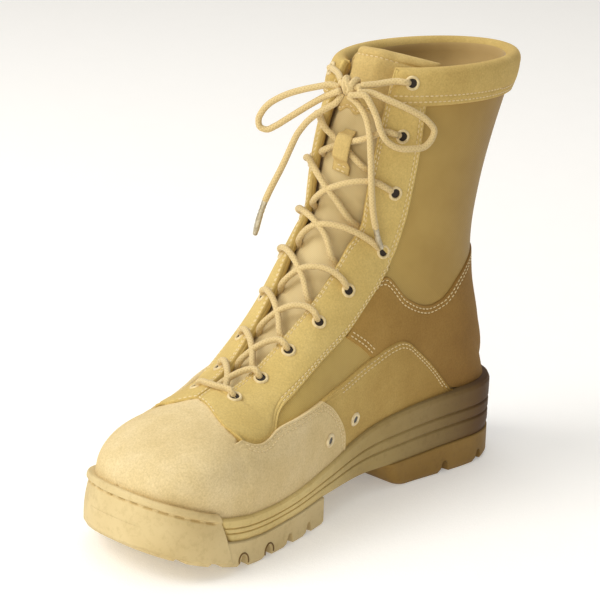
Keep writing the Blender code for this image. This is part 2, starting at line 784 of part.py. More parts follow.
def build_upper(sheet):
    padding = COLLAR_PADDING * np.clip((sheet["rows"] - 13.6) / 1.4, 0, 1)
    return add("upper", *shell(sheet, -(WALL + padding), 0.0), NYLON_LOOK, PARTS)


def overlay(name, sheet, cutter, look, thick=OVERLAY, low=GAP):
    made = add(name, *shell(sheet, low, low + thick), look, PARTS)
    boolean(made, "INTERSECT", cutter)
    return made


def build_overlays(sheet):
    vamp = [(330, 20), (330, 110), (228.0, 110), *VAMP_EDGE]
    overlay("vamp", sheet, prism("vamp_pattern", vamp, -90, 90), SUEDE_LOOK)
    counter = [*COUNTER_TOP, (-40, 20), *COUNTER_LOW]
    overlay("counter", sheet, prism("counter_pattern", counter, -90, 90), SUEDE_LOOK, OVERLAY, 1.5 * GAP)
    cuff = [(160, 270), *CUFF_EDGE, (-40, 270)]
    overlay("cuff", sheet, prism("cuff_pattern", cuff, -90, 90), SUEDE_LOOK, 2.4)
    eyestay = [(160, 234.1), *EYESTAY_BACK, *FLAP_EDGE, (215, 110), (180, 140)]
    for name, low, high in (("medial", 12, 90), ("lateral", -90, 4)):
        overlay(f"foxing_{name}", sheet, prism(f"foxing_{name}_pattern", FOXING_EDGE, low, high), SUEDE_LOOK)
        cutter = prism(f"eyestay_{name}_pattern", eyestay, low, high)
        overlay(f"eyestay_{name}", sheet, cutter, SUEDE_LOOK, 1.6)


def eyelet_out(row, side):
    return hermite(THROAT, np.array([row]))[0, 0 if side > 0 else 1] + EYELET_FROM_EDGE


def build_eyelets():
    for side, name in ((1, "medial"), (-1, "lateral")):
        for number, row in enumerate(EYELET_ROWS, 1):
            share = share_at(np.array([row]), [eyelet_out(row, side)], side)[0]
            low = GAP + (2.4 if number == 1 else 1.6) + GAP
            ring_mesh = washer(row, share, side, EYELET_OUTER, EYELET_HOLE, low, low + EYELET_HIGH)
            add(f"eyelet_{name}_{number}", *ring_mesh, EYELET_LOOK, PARTS)
    for number, (row, share) in enumerate(VENTS, 1):
        low = GAP + OVERLAY + GAP
        ring_mesh = washer(row, share, 1, VENT_OUTER, VENT_HOLE, low, low + VENT_HIGH)
        add(f"vent_{number}", *ring_mesh, VENT_LOOK, PARTS)

def over_all(points):
    return [over_throat(*p) for p in points]


def strand(name, points, group, radius=CORD, look=None):
    return add(name, *tube(points, radius, 5), look or CORD_LOOK, group)


def crossing(row, below, side, lifts, bend):
    """Length of lace from an eyelet, across the throat and down under its other edge."""
    mine, other = (0, 1) if side > 0 else (1, 0)
    last = below + 0.15 * (row - below)
    start = hermite(THROAT, np.array([row]))[0, mine] + EYELET_FROM_EDGE - EYELET_OUTER - 0.9
    end = 3.0 - hermite(THROAT, np.array([last]))[0, other]
    shares = np.array([0, 0.25, 0.5, 0.75, 1])
    rows = row + (last - row) * shares**bend
    return [(r, side * (start + (end - start) * t), lift) for r, t, lift in zip(rows, shares, lifts)]


def build_lace():
    for number in range(2, 9):
        row, below = EYELET_ROWS[number - 1 : number + 1]
        lifts, bend = (4.4, 4.2, 3.2, 1.6, -0.4), 1.3
        if number == 2:
            lifts, bend = (4.6, 3.2, -1.4, -1.5, -0.8), 0.75
        made = strand(f"lace_cross_{number}", over_all(crossing(row, below, 1, lifts, bend)), PARTS)
        other = strand(f"lace_under_{number}", over_all(crossing(row, below, -1, lifts, bend)), HELPERS)
        boolean(made, "UNION", other)
    row = EYELET_ROWS[-1]
    reach = [eyelet_out(row, side) - EYELET_OUTER - 0.9 for side in (1, -1)]
    bar = [(row, reach[0], 4.2), (row - 0.05, 4, 4.6), (row - 0.05, -2, 4.6), (row, -reach[1], 4.2)]
    strand("lace_bar", over_all(bar), PARTS)


def hung(way, points):
    """Points that hang from the knot: reach away from it, drop below it."""
    centre = over_throat(*KNOT)
    return [centre + np.array([way[0] * reach, way[1] * reach, -drop]) for reach, drop in points]


def knot_frame():
    """The knot's centre with its directions across, down along the throat and out of it."""
    centre = over_throat(*KNOT)
    normal = over_throat(KNOT[0], KNOT[1], KNOT[2] + 1) - centre
    across = over_throat(KNOT[0], KNOT[1] + 2, KNOT[2]) - centre
    across /= np.linalg.norm(across)
    return centre, np.array([across, np.cross(normal, across), normal])


def port(name):
    centre, frame = knot_frame()
    return centre + np.array(PORTS[name]) @ frame


def build_bow():
    centre, frame = knot_frame()
    points, faces, turns = [], [], 8
    for level in np.radians((-60, -25, 25, 60)):
        for k in range(turns):
            turn = 2 * np.pi * k / turns
            way = (np.cos(level) * np.cos(turn), np.cos(level) * np.sin(turn), np.sin(level))
            points.append(centre + np.multiply(KNOT_SIZE, way) @ frame)
    for i in range(3):
        for k in range(turns):
            n = (k + 1) % turns
            faces.append((i * turns + k, i * turns + n, (i + 1) * turns + n, (i + 1) * turns + k))
    faces += [tuple(range(turns))[::-1], tuple(range(3 * turns, 4 * turns))]
    add("lace_knot", points, faces, CORD_LOOK, PARTS)
    strand("lace_top_medial", [*over_all(TOP_MEDIAL), port("top_medial")], PARTS)
    strand("lace_top_lateral", [*over_all(TOP_LATERAL), port("top_lateral")], PARTS)
    loop = [port("loop_medial"), *over_all(LOOP_MEDIAL), port("loop_medial_back")]
    strand("lace_loop_medial", loop, PARTS)
    loop = [port("loop_lateral"), *hung(LOOP_WAY, LOOP_LATERAL), port("loop_lateral_back")]
    strand("lace_loop_lateral", loop, PARTS)
    strand("lace_end_medial", [port("end_medial"), *over_all(END_MEDIAL)], PARTS)
    strand("lace_end_lateral", [port("end_lateral"), *hung(END_WAY, END_LATERAL)], PARTS)
    strand("aglet_medial", over_all(TIP_MEDIAL), PARTS, TIP, AGLET_LOOK)
    strand("aglet_lateral", hung(END_WAY, TIP_LATERAL), PARTS, TIP, AGLET_LOOK)


def build_keeper():
    points, faces = [], []
    for row, lift in KEEPER:
        for out in (KEEPER_OUT - KEEPER_HALF, KEEPER_OUT + KEEPER_HALF):
            for thick in (0.0, KEEPER_THICK):
                points.append(over_throat(row, out, lift + thick))
    for i in range(len(KEEPER) - 1):
        a, b = 4 * i, 4 * i + 4
        for c, d in ((0, 1), (1, 3), (3, 2), (2, 0)):
            faces.append((a + c, a + d, b + d, b + c))
    last = 4 * len(KEEPER) - 4
    faces += [(0, 2, 3, 1), (last, last + 1, last + 3, last + 2)]
    add("lace_keeper", points, faces, SUEDE_LOOK, PARTS)



for old in list(bpy.data.objects):
    bpy.data.objects.remove(old, do_unlink=True)

PARTS = collection("military_boot")
HELPERS = collection("boot_helpers")

SUEDE_LOOK = material("suede", (205, 182, 129), 0.9)
NYLON_LOOK = material("nylon", (180, 152, 88), 0.8)
TONGUE_LOOK = material("tongue_nylon", (201, 178, 127), 0.8)
SOLE_LOOK = material("midsole_rubber", (190, 168, 118), 0.6)
TREAD_LOOK = material("tread_rubber", (214, 192, 143), 0.6)
HEEL_LOOK = material("heel_rubber", (150, 124, 76), 0.6)
LINING_LOOK = material("lining", (120, 92, 58), 0.9)
EYELET_LOOK = material("eyelet_enamel", (225, 205, 160), 0.35)
VENT_LOOK = material("vent_metal", (176, 164, 140), 0.35, 0.8)
CORD_LOOK = material("cord", (206, 181, 127), 0.8)
AGLET_LOOK = material("aglet_metal", (190, 178, 150), 0.3, 0.8)

build_midsole()
build_forefoot()
build_heel()
build_insole()
build_tongue()
SHEET = upper_sheet()
build_upper(SHEET)
build_overlays(SHEET)
build_eyelets()
build_lace()
build_bow()
build_keeper()
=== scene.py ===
import math

import bmesh
import bpy
import numpy as np
from mathutils import Matrix, Vector


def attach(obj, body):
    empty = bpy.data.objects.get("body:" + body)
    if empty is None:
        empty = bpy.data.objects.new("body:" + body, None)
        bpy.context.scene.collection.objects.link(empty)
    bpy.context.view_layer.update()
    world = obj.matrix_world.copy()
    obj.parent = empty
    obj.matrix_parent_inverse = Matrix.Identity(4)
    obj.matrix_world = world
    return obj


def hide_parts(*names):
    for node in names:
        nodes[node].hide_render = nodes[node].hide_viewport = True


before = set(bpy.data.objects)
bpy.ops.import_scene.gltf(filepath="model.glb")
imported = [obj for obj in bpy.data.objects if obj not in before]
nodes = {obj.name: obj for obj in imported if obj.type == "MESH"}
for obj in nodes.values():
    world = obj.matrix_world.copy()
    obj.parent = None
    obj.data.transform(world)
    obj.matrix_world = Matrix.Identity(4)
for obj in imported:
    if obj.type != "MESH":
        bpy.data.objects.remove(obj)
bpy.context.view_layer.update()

# Right military boot. Shapes are worked out in millimetres: x across (medial positive),
# u from the back of the sole towards the toe, z up from the floor.
boot = {
    "mm": 0.001,
    "length": 305.0,
    "centreX": 4.34,
    "centreU": 147.28,
    "ledge": 4.5,
    "upperToe": 301.0,
    "upperHeel": 3.0,
    "heelRow": 9,
    "sideShare": 0.42,
    "throatRow": 2.45,
    "heelMiddle": np.array((-1.0, 38.0, 0.0)),
}
toeStart = {1: 238.0, -1: 212.0}
toePower = {1: 2.8, -1: 2.25}
heelRound, heelPower = 40.0, 2.3

# sole outline: u, centre, half width
soleOutline = np.array([
    (0, 0, 37.5), (45, 0, 38.5), (95, -2, 37.5), (130, -3.5, 38.5), (170, -2, 46.5),
    (205, 0, 53.5), (235, 3.5, 55), (265, 7.5, 55), (305, 11, 54),
], float)
# line where the upper meets the sole: u, height
featherLine = np.array([
    (0, 51.5), (35, 50.9), (65, 50.0), (88, 48.2), (111, 45.0), (139, 38.8), (163, 34.4),
    (194, 30.2), (228, 28.0), (258, 30.4), (274, 34.0), (288, 38.6), (310, 46.0),
], float)
# line between midsole and outsole: u, height
splitLine = np.array([
    (0, 18.0), (60, 17.8), (85, 16.2), (105, 15.4), (140, 15.8), (176, 16.6), (214, 15.4),
    (240, 15.0), (265, 18.4), (288, 25.0), (310, 31.5),
], float)
# underside of the tread: u, height
treadLine = np.array([
    (0, 0), (205, 0), (240, 0), (252, 1.2), (267, 4.8), (287, 10.0), (301, 14.6), (312, 18.4),
], float)
# upper's sections: low u, back height, top u, top height, ridge x, half width, rise,
# medial and lateral roundness
upperSections = np.array([
    (301.0, 0.0, 301.0, 70.0, 15.0, 49.5, 0.32, 2.6, 2.35),
    (275.0, 0.0, 275.0, 73.5, 14.0, 50.5, 0.32, 2.5, 2.1),
    (245.0, 0.0, 244.0, 78.5, 10.5, 51.2, 0.31, 1.95, 1.45),
    (215.0, 0.0, 212.0, 87.5, 6.0, 50.4, 0.31, 1.9, 1.4),
    (185.0, 0.0, 185.5, 105.0, 2.0, 46.2, 0.32, 2.0, 1.55),
    (150.0, 0.0, 165.5, 124.5, -1.0, 41.6, 0.33, 2.0, 1.8),
    (112.0, 0.0, 152.6, 143.5, -2.5, 39.0, 0.36, 2.0, 2.0),
    (65.0, 0.0, 145.3, 158.5, -2.6, 38.2, 0.40, 2.0, 2.0),
    (25.0, 23.0, 141.6, 167.0, -2.0, 37.8, 0.42, 2.0, 2.0),
    (3.0, 51.5, 139.9, 174.8, -1.2, 37.4, 0.44, 2.0, 2.0),
    (8.0, 80.0, 139.4, 184.0, -0.5, 37.1, 0.45, 2.0, 2.0),
    (17.5, 110.0, 137.8, 195.6, 0.0, 36.8, 0.46, 2.0, 2.0),
    (20.5, 140.0, 134.6, 207.6, 0.0, 37.2, 0.47, 2.0, 2.0),
    (16.3, 170.0, 130.4, 218.6, 0.0, 38.7, 0.48, 2.0, 2.0),
    (7.4, 202.0, 125.7, 230.8, 0.0, 40.4, 0.48, 2.0, 2.0),
    (-3.1, 231.0, 120.2, 243.3, 0.0, 42.3, 0.49, 2.0, 2.0),
    (-11.0, 253.0, 114.6, 252.8, 0.0, 43.8, 0.50, 2.0, 2.0),
    (-17.0, 272.0, 109.4, 261.8, 0.0, 44.8, 0.50, 2.0, 2.0),
])
upperSections = np.column_stack([np.arange(len(upperSections)), upperSections])
# half opening of the throat from the ridge: row, medial, lateral
throatTable = np.array([
    (0, 7.5, 4.5), (2.45, 8, 5), (3.25, 10.5, 6.5), (4, 13.5, 8.5), (5, 17.5, 9.5), (6, 20, 10),
    (8, 20.5, 10), (10, 21.5, 10), (12, 22.5, 10), (14, 22.5, 10), (17, 21, 9),
], float)
eyeletRows = (15.2, 13.3, 11.3, 8.3, 6.2, 5.0, 4.0, 3.2, 2.5)


# smooth curve through a table whose first column is the parameter (cubic Hermite)
def smooth(table, at):
    table = np.asarray(table, float)
    knots, values = table[:, 0], table[:, 1:]
    at = np.asarray(at, float)
    slopes = np.gradient(values, knots, axis=0)
    i = np.clip(np.searchsorted(knots, at) - 1, 0, len(knots) - 2)
    step = (knots[i + 1] - knots[i])[..., None]
    f = (at - knots[i])[..., None] / step
    start = (2 * f**3 - 3 * f**2 + 1) * values[i] + (f**3 - 2 * f**2 + f) * step * slopes[i]
    return start + (3 * f**2 - 2 * f**3) * values[i + 1] + (f**3 - f**2) * step * slopes[i + 1]


def heightOf(table, u):
    return smooth(table, u)[..., 0]


def treadAt(u):
    return np.maximum(heightOf(treadLine, u), 0.0)


# ease from 0 to 1 between two values
def ramp(value, low, high):
    f = np.clip((value - low) / (high - low), 0, 1)
    return f * f * (3 - 2 * f)


# vectors scaled to length one
def unit(vectors):
    return vectors / np.maximum(np.linalg.norm(vectors, axis=-1, keepdims=True), 1e-9)


# lengths gone along one axis of a grid or path, from its first sample on
def lengthsAlong(points, axis=0):
    steps = np.linalg.norm(np.diff(points, axis=axis), axis=-1)
    zero = np.zeros_like(np.take(steps, [0], axis=axis))
    return np.concatenate([zero, np.cumsum(steps, axis=axis)], axis=axis)


# superellipse that closes the outline at the toe, and the same at the heel
def toeRound(u, toe, side):
    start, power = toeStart[side], toePower[side]
    return (1 - np.clip((u - start) / (toe - start), 0, 1) ** power) ** (1 / power)


def heelRoundOff(u, heel):
    share = np.clip((heelRound - u) / (heelRound - heel), 0, 1)
    return (1 - share**heelPower) ** (1 / heelPower)


# x of the sole's edge: centre plus half width and step, closed at toe and heel
def soleEdge(u, side, step=0.0, toe=305.0, heel=0.0):
    row = smooth(soleOutline, u)
    return row[..., 0] + side * (row[..., 1] + step) * toeRound(u, toe, side) * heelRoundOff(u, heel)


# section of the upper at a row: its side-view line from feather or back to ridge,
# half width, foot width and roundness
def sectionAt(row, side):
    columns = np.moveaxis(smooth(upperSections, row), -1, 0)
    lowU, lowZ, topU, topZ, ridge, half, rise, medial, lateral = columns
    foot = row <= boot["heelRow"]
    back = heelRound - boot["upperHeel"]
    turn = np.clip((lowU - boot["upperHeel"]) / back, 0, 1) * np.pi / 2
    lowU = np.where(foot & (lowU < heelRound), heelRound - back * np.cos(turn) ** (2 / heelPower), lowU)
    lowU = np.minimum(lowU, boot["upperToe"])
    u = np.clip(lowU, boot["upperHeel"], boot["upperToe"])
    base = soleEdge(u, side, -boot["ledge"], boot["upperToe"], boot["upperHeel"])
    shaft = ramp(row, 5.5, boot["heelRow"])
    centre = smooth(soleOutline, u)[..., 0] * (1 - shaft) + ridge * shaft
    base = np.where(foot, np.abs(base - smooth(soleOutline, u)[..., 0]), 0.0)
    lowZ = np.where(foot, heightOf(featherLine, u), lowZ)
    cap = np.where(row < 5, toeRound(u, boot["upperToe"], side), 1.0)
    half = np.maximum(half * cap, base + 0.3 * cap)
    blunt = np.clip((u - toeStart[1]) / (boot["upperToe"] - toeStart[1]), 0, 1)
    drop = (1 - blunt**2.4) ** (1 / 2.4)
    topZ = np.where(row < 3, lowZ + 3 + (topZ - lowZ - 3) * drop, topZ)
    tuck = np.sqrt(1 - np.clip(base / np.maximum(half, 1e-6), 0, 1) ** 2)
    tuck = np.maximum(tuck, 1e-6)
    return lowU, lowZ, topU, topZ, ridge, centre, half, rise, tuck, medial if side > 0 else lateral


# point of the upper, up the section's line: a tucked-in arc below the widest height
# and a superellipse above it
def upperPoint(row, share, side):
    row, share = np.broadcast_arrays(np.asarray(row, float), np.asarray(share, float))
    lowU, lowZ, topU, topZ, ridge, centre, half, rise, tuck, power = sectionAt(row, side)
    split = boot["sideShare"]
    angle = np.arcsin(tuck) * (1 - np.clip(share / split, 0, 1))
    over = np.clip((share - split) / (1 - split), 0, 1) * np.pi / 2
    sideUp = rise * (1 - np.sin(angle) / tuck)
    overUp = rise + (1 - rise) * np.sin(over) ** (2 / power)
    overOut = half * np.clip(np.cos(over), 0, 1) ** (2 / power)
    up = np.where(share > split, overUp, sideUp)
    out = np.where(share > split, overOut, half * np.cos(angle))
    x = centre * (1 - up) + ridge * up + side * out
    return np.stack([x, lowU + (topU - lowU) * up, lowZ + (topZ - lowZ) * up], -1)


# outward normal from central differences; level and away from the heel's middle
# where the foot's rows meet the shaft's
def sideNormal(row, share, side):
    at = np.clip(share, 0.006, 0.985)
    safe = np.maximum(row, 0.05)
    along = upperPoint(safe + 0.02, at, side) - upperPoint(safe - 0.02, at, side)
    across = upperPoint(safe, at + 0.005, side) - upperPoint(safe, at - 0.005, side)
    normal = unit(-side * np.cross(along, across))
    away = unit((upperPoint(safe, share, side) - boot["heelMiddle"]) * (1.0, 1.0, 0.0))
    near = np.exp(-(((row - boot["heelRow"]) / 0.8) ** 2)) * (1 - ramp(share, 0.12, 0.42))
    normal = normal + (away - normal) * near[..., None]
    seam = ((share < 0.01) & (row >= boot["heelRow"])) | (row < 0.02)
    normal[..., 0] = np.where(seam, 0.0, normal[..., 0])
    return unit(normal)


# both sides share the mean normal on the ridge, so that their halves meet there
def upperNormal(row, share, side):
    row, share = np.broadcast_arrays(np.asarray(row, float), np.asarray(share, float))
    own = sideNormal(row, share, side)
    top = np.clip((share - 0.94) / 0.06, 0, 1)[..., None]
    mean = own * (1 - top / 2) + sideNormal(row, share, -side) * top / 2
    return unit(mean)


# soft wear: long shallow troughs and swells on the upper: row, share, row reach, share reach, depth in mm
softForms = {
    1: ((7.4, 0.50, 0.9, 0.10, -0.9), (8.6, 0.62, 0.8, 0.12, 0.7), (10.4, 0.42, 0.8, 0.2, -0.6),
        (12.2, 0.30, 1.2, 0.16, 0.7), (3.6, 0.46, 0.5, 0.10, -0.5), (13.4, 0.5, 0.6, 0.25, -0.4)),
    -1: ((7.2, 0.52, 0.9, 0.12, -0.9), (8.8, 0.6, 0.9, 0.12, 0.6), (10.8, 0.40, 0.8, 0.2, -0.6),
         (12.6, 0.32, 1.0, 0.16, 0.6), (3.4, 0.44, 0.5, 0.10, -0.5)),
}


def softWear(row, share, side):
    total = np.zeros(np.broadcast(row, share).shape)
    for r, s, rowReach, shareReach, depth in softForms[side]:
        total = total + depth * np.exp(-(((row - r) / rowReach) ** 2) - ((share - s) / shareReach) ** 2)
    return total


def overUpper(row, share, side, lift):
    lift = np.asarray(lift) + softWear(row, share, side)
    return upperPoint(row, share, side) + upperNormal(row, share, side) * lift[..., None]


def toWorld(points):
    points = np.asarray(points, float)
    x, u, z = np.moveaxis(points, -1, 0)
    moved = np.stack([x - boot["centreX"], boot["centreU"] - u, z], -1)
    return moved * boot["mm"]


# share up a row at which the surface is this far out from the ridge, found by halving the range
def shareAtOut(rows, out, side):
    rows, out = np.broadcast_arrays(np.atleast_1d(np.asarray(rows, float)), np.asarray(out, float))
    ridge = smooth(upperSections, rows)[..., 4]
    low, high = np.full(rows.shape, boot["sideShare"]), np.ones(rows.shape)
    out = np.minimum(out, 0.9 * np.abs(upperPoint(rows, low, side)[..., 0] - ridge))
    for halving in range(16):
        middle = (low + high) / 2
        wider = np.abs(upperPoint(rows, middle, side)[..., 0] - ridge) > out
        low, high = np.where(wider, middle, low), np.where(wider, high, middle)
    return (low + high) / 2


# share at the throat's edge, which closes towards the toe
def throatShare(rows, side):
    rows = np.asarray(rows, float)
    opening = smooth(throatTable, rows)[..., 0 if side > 0 else 1] * np.clip(rows / 0.6, 0.02, 1)
    return shareAtOut(rows, opening, side)


# points over the throat: out from the ridge (medial positive) and lift above the upper's surface
def overThroat(row, out, lift):
    out, lift = np.asarray(out, float), np.asarray(lift, float)
    row, out, lift = np.broadcast_arrays(np.atleast_1d(row), out, lift)
    found = []
    for side in (1, -1):
        share = shareAtOut(row, np.abs(out), side)
        found.append(upperPoint(row, share, side) + upperNormal(row, share, side) * lift[..., None])
    return np.where((out >= 0)[..., None], found[0], found[1])


# row and share of side-view pattern points: the row whose line passes through them,
# then its arc turned back
def patternSpot(u, z, side):
    rows = np.linspace(0.0, 17.0, 1201)
    lowU, lowZ, topU, topZ = sectionAt(rows, side)[:4]
    u, z = np.asarray(u, float)[:, None], np.asarray(z, float)[:, None]
    alongU, alongZ = topU - lowU, topZ - lowZ
    away = (u - lowU) * alongZ - (z - lowZ) * alongU
    up = ((u - lowU) * alongU + (z - lowZ) * alongZ) / (alongU**2 + alongZ**2)
    meets = (away[:, :-1] * away[:, 1:] <= 0) & (up[:, :-1] > -0.35) & (up[:, :-1] < 1.35)
    i = np.where(meets.any(1), meets.argmax(1), np.abs(away + 1e6 * ((up < -0.3) | (up > 1.3))).argmin(1))
    i = np.minimum(i, len(rows) - 2)
    k = np.arange(len(i))
    f = np.clip(away[k, i] / (away[k, i] - away[k, i + 1] + 1e-12), 0, 1)
    row = rows[i] + f * (rows[1] - rows[0])
    up = np.clip(up[k, i] + f * (up[k, i + 1] - up[k, i]), 0, 1)
    rise, tuck, power = sectionAt(row, side)[7:]
    split = boot["sideShare"]
    low = split * (1 - np.arcsin(np.clip(tuck * (1 - up / rise), 0, 1)) / np.arcsin(tuck))
    over = np.arcsin(np.clip((up - rise) / (1 - rise), 0, 1) ** (power / 2))
    return row, np.where(up > rise, split + (1 - split) * over / (np.pi / 2), low)


# smooth side-view curve through pattern points, n samples evenly along its length
def patternCurve(points, samples):
    points = np.asarray(points, float)
    gone = lengthsAlong(points)
    return smooth(np.column_stack([gone / gone[-1], points]), np.linspace(0, 1, samples))


# the same as rows and shares on the upper
def patternEdge(points, side, samples):
    curve = patternCurve(points, samples)
    return np.stack(patternSpot(curve[:, 0], curve[:, 1], side), -1)


def meshObject(name, points, faces, look, uv=None):
    mesh = bpy.data.meshes.new(name)
    mesh.from_pydata(np.asarray(points).reshape(-1, 3).tolist(), [], np.asarray(faces).tolist())
    if uv is not None:
        layer = mesh.uv_layers.new(name="UVMap")
        index = np.empty(len(mesh.loops), np.int32)
        mesh.loops.foreach_get("vertex_index", index)
        layer.data.foreach_set("uv", np.asarray(uv, np.float32).reshape(-1, 2)[index].reshape(-1))
    mesh.polygons.foreach_set("use_smooth", np.ones(len(mesh.polygons), bool))
    made = bpy.data.objects.new(name, mesh)
    bpy.context.scene.collection.objects.link(made)
    for one in look if isinstance(look, (list, tuple)) else [look]:
        mesh.materials.append(one)
    return made


# faces of a grid of n by m points; either way may be closed
def gridFaces(n, m, closeN=False, closeM=False, start=0, flip=False):
    i = np.arange(n if closeN else n - 1)
    j = np.arange(m if closeM else m - 1)
    i, j = np.meshgrid(i, j, indexing="ij")
    a, b = i * m + j, i * m + (j + 1) % m
    c, d = ((i + 1) % n) * m + (j + 1) % m, ((i + 1) % n) * m + j
    quads = np.stack([a, b, c, d] if not flip else [a, d, c, b], -1).reshape(-1, 4)
    return quads + start


def weld(made, distance=2e-6, closed=True):
    work = bmesh.new()
    work.from_mesh(made.data)
    bmesh.ops.remove_doubles(work, verts=work.verts[:], dist=distance)
    bmesh.ops.dissolve_degenerate(work, edges=work.edges[:], dist=1e-7)
    if closed:
        bmesh.ops.recalc_face_normals(work, faces=work.faces[:])
    work.to_mesh(made.data)
    work.free()
    return made


def finishPiece(made, slot, *replaced):
    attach(made, "root")
    if replaced:
        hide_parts(*replaced)
    return made


# tube: a circle carried along a path, with its ends rounded off; UV is round and along
def tubeParts(path, radius, facing, sides=12, roundEnds=True):
    path = np.asarray(path, float)
    radius = np.full(len(path), radius) if np.isscalar(radius) else np.asarray(radius, float)
    along = unit(np.gradient(path, axis=0))
    gone = lengthsAlong(path)
    if roundEnds:
        bow = np.sin(np.linspace(0, np.pi / 2, 5))
        reach = 1 - np.cos(np.linspace(0, np.pi / 2, 5))
        near = path[0] - along[0] * radius[0] * 0.6 * (1 - reach[:-1, None])
        far = path[-1] + along[-1] * radius[-1] * 0.6 * (1 - reach[:-1, None])[::-1]
        path = np.concatenate([near, path, far])
        radius = np.concatenate([radius[0] * bow[:-1], radius, radius[-1] * bow[:-1][::-1]])
        along = np.concatenate([np.repeat(along[:1], 4, 0), along, np.repeat(along[-1:], 4, 0)])
        gone = np.concatenate([np.repeat(gone[:1], 4), gone, np.repeat(gone[-1:], 4)])
    first = unit(np.cross(along, np.asarray(facing, float)))
    second = np.cross(along, first)
    turn = np.linspace(0, 2 * np.pi, sides + 1)[:-1]
    ring = np.cos(turn)[None, :, None] * first[:, None] + np.sin(turn)[None, :, None] * second[:, None]
    points = path[:, None] + radius[:, None, None] * ring
    around = np.linspace(0, 1, sides + 1)[None, :-1]
    return points, np.stack(np.broadcast_arrays(around, gone[:, None] * boot["mm"]), -1)


def tubePiece(name, tubes, look):
    points, faces, uvs, start = [], [], [], 0
    for grid, uv in tubes:
        points.append(grid.reshape(-1, 3))
        uvs.append(uv.reshape(-1, 2))
        faces.append(gridFaces(*grid.shape[:2], closeM=True, start=start))
        start += len(points[-1])
    points, faces, uvs = (np.concatenate(blocks) for blocks in (points, faces, uvs))
    made = meshObject(name, toWorld(points), faces, look, uvs)
    return weld(made, 1e-6)


# closed body between an outer and an inner grid
def closedBody(name, outer, inner, look, index=None):
    n, m = outer.shape[:2]
    size = n * m
    top = gridFaces(n, m)
    bottom = gridFaces(n, m, start=size, flip=True)
    rim = np.concatenate([np.arange(n) * m, (n - 1) * m + np.arange(1, m),
                          np.arange(n - 2, -1, -1) * m + m - 1, np.arange(m - 2, 0, -1)])
    following = np.roll(rim, -1)
    walls = np.stack([rim, rim + size, following + size, following], -1)
    points = np.concatenate([outer.reshape(-1, 3), inner.reshape(-1, 3)])
    made = meshObject(name, points, np.concatenate([top, bottom, walls]), look)
    if index is not None:
        every = np.concatenate([index, index, np.zeros(len(walls), bool)]).astype(np.int32)
        made.data.polygons.foreach_set("material_index", every)
    return weld(made)


def linear(rgb):
    srgb = np.array(rgb, float) / 255
    return tuple(np.where(srgb > 0.04045, ((srgb + 0.055) / 1.055) ** 2.4, srgb / 12.92)) + (1.0,)


def newMaterial(name, roughness, **shader):
    made = bpy.data.materials.new(name)
    made.use_nodes = True
    tree = made.node_tree
    bsdf = tree.nodes["Principled BSDF"]
    bsdf.inputs["Roughness"].default_value = roughness
    for key, value in shader.items():
        bsdf.inputs[key].default_value = value
    return made, tree, bsdf


def addNode(tree, kind, **inputs):
    made = tree.nodes.new(kind)
    for key, value in inputs.items():
        made.inputs[key.replace("_", " ")].default_value = value
    return made


# coordinate of a pattern: Object, or UV where it follows the piece
def patternSpace(tree, source="Object", scale=(1, 1, 1)):
    coord = tree.nodes.new("ShaderNodeTexCoord")
    mapping = tree.nodes.new("ShaderNodeMapping")
    mapping.inputs["Scale"].default_value = scale
    tree.links.new(coord.outputs[source], mapping.inputs["Vector"])
    return mapping.outputs["Vector"]


def noiseOf(tree, space, scale, detail=3.0, rough=0.6):
    made = addNode(tree, "ShaderNodeTexNoise", Scale=scale, Detail=detail, Roughness=rough)
    tree.links.new(space, made.inputs["Vector"])
    return made.outputs["Fac"]


def colourRamp(tree, factor, stops):
    made = tree.nodes.new("ShaderNodeValToRGB")
    elements = made.color_ramp.elements
    while len(elements) < len(stops):
        elements.new(0.5)
    for element, (place, rgb) in zip(elements, stops):
        element.position = place
        element.color = linear(rgb)
    tree.links.new(factor, made.inputs["Fac"])
    return made.outputs["Color"]


def mixColour(tree, factor, first, second, mode="MIX"):
    made = tree.nodes.new("ShaderNodeMix")
    made.data_type = "RGBA"
    made.blend_type = mode
    for value, key in ((factor, 0), (first, 6), (second, 7)):
        if isinstance(value, (int, float, tuple)):
            made.inputs[key].default_value = value
        else:
            tree.links.new(value, made.inputs[key])
    return made.outputs[2]


def mathNode(tree, operation, first, second=None):
    made = tree.nodes.new("ShaderNodeMath")
    made.operation = operation
    for key, value in enumerate((first, second)):
        if value is None:
            continue
        if isinstance(value, (int, float)):
            made.inputs[key].default_value = value
        else:
            tree.links.new(value, made.inputs[key])
    return made.outputs[0]


# a value times a factor, plus a constant
def scaled(tree, value, factor, plus=None):
    grown = mathNode(tree, "MULTIPLY", value, factor)
    return grown if plus is None else mathNode(tree, "ADD", grown, plus)


def bumpOf(tree, bsdf, height, strength, distance):
    made = addNode(tree, "ShaderNodeBump", Strength=strength, Distance=distance)
    tree.links.new(height, made.inputs["Height"])
    tree.links.new(made.outputs["Normal"], bsdf.inputs["Normal"])


# painted shade: a tone that multiplies a colour from white at the toe to the given heel shade at the heel,
# along the object's Y, where less light falls
def heelShaded(tree, space, colour, heelShade):
    split = tree.nodes.new("ShaderNodeSeparateXYZ")
    tree.links.new(space, split.inputs[0])
    along = scaled(tree, split.outputs[1], 5.0, 0.35)
    wearAndShade = colourRamp(tree, along, ((0.1, (255, 255, 255)), (0.95, heelShade)))
    return mixColour(tree, 1.0, colour, wearAndShade, "MULTIPLY")


suedeLook = {"nap": 900.0, "cloud": 32.0}
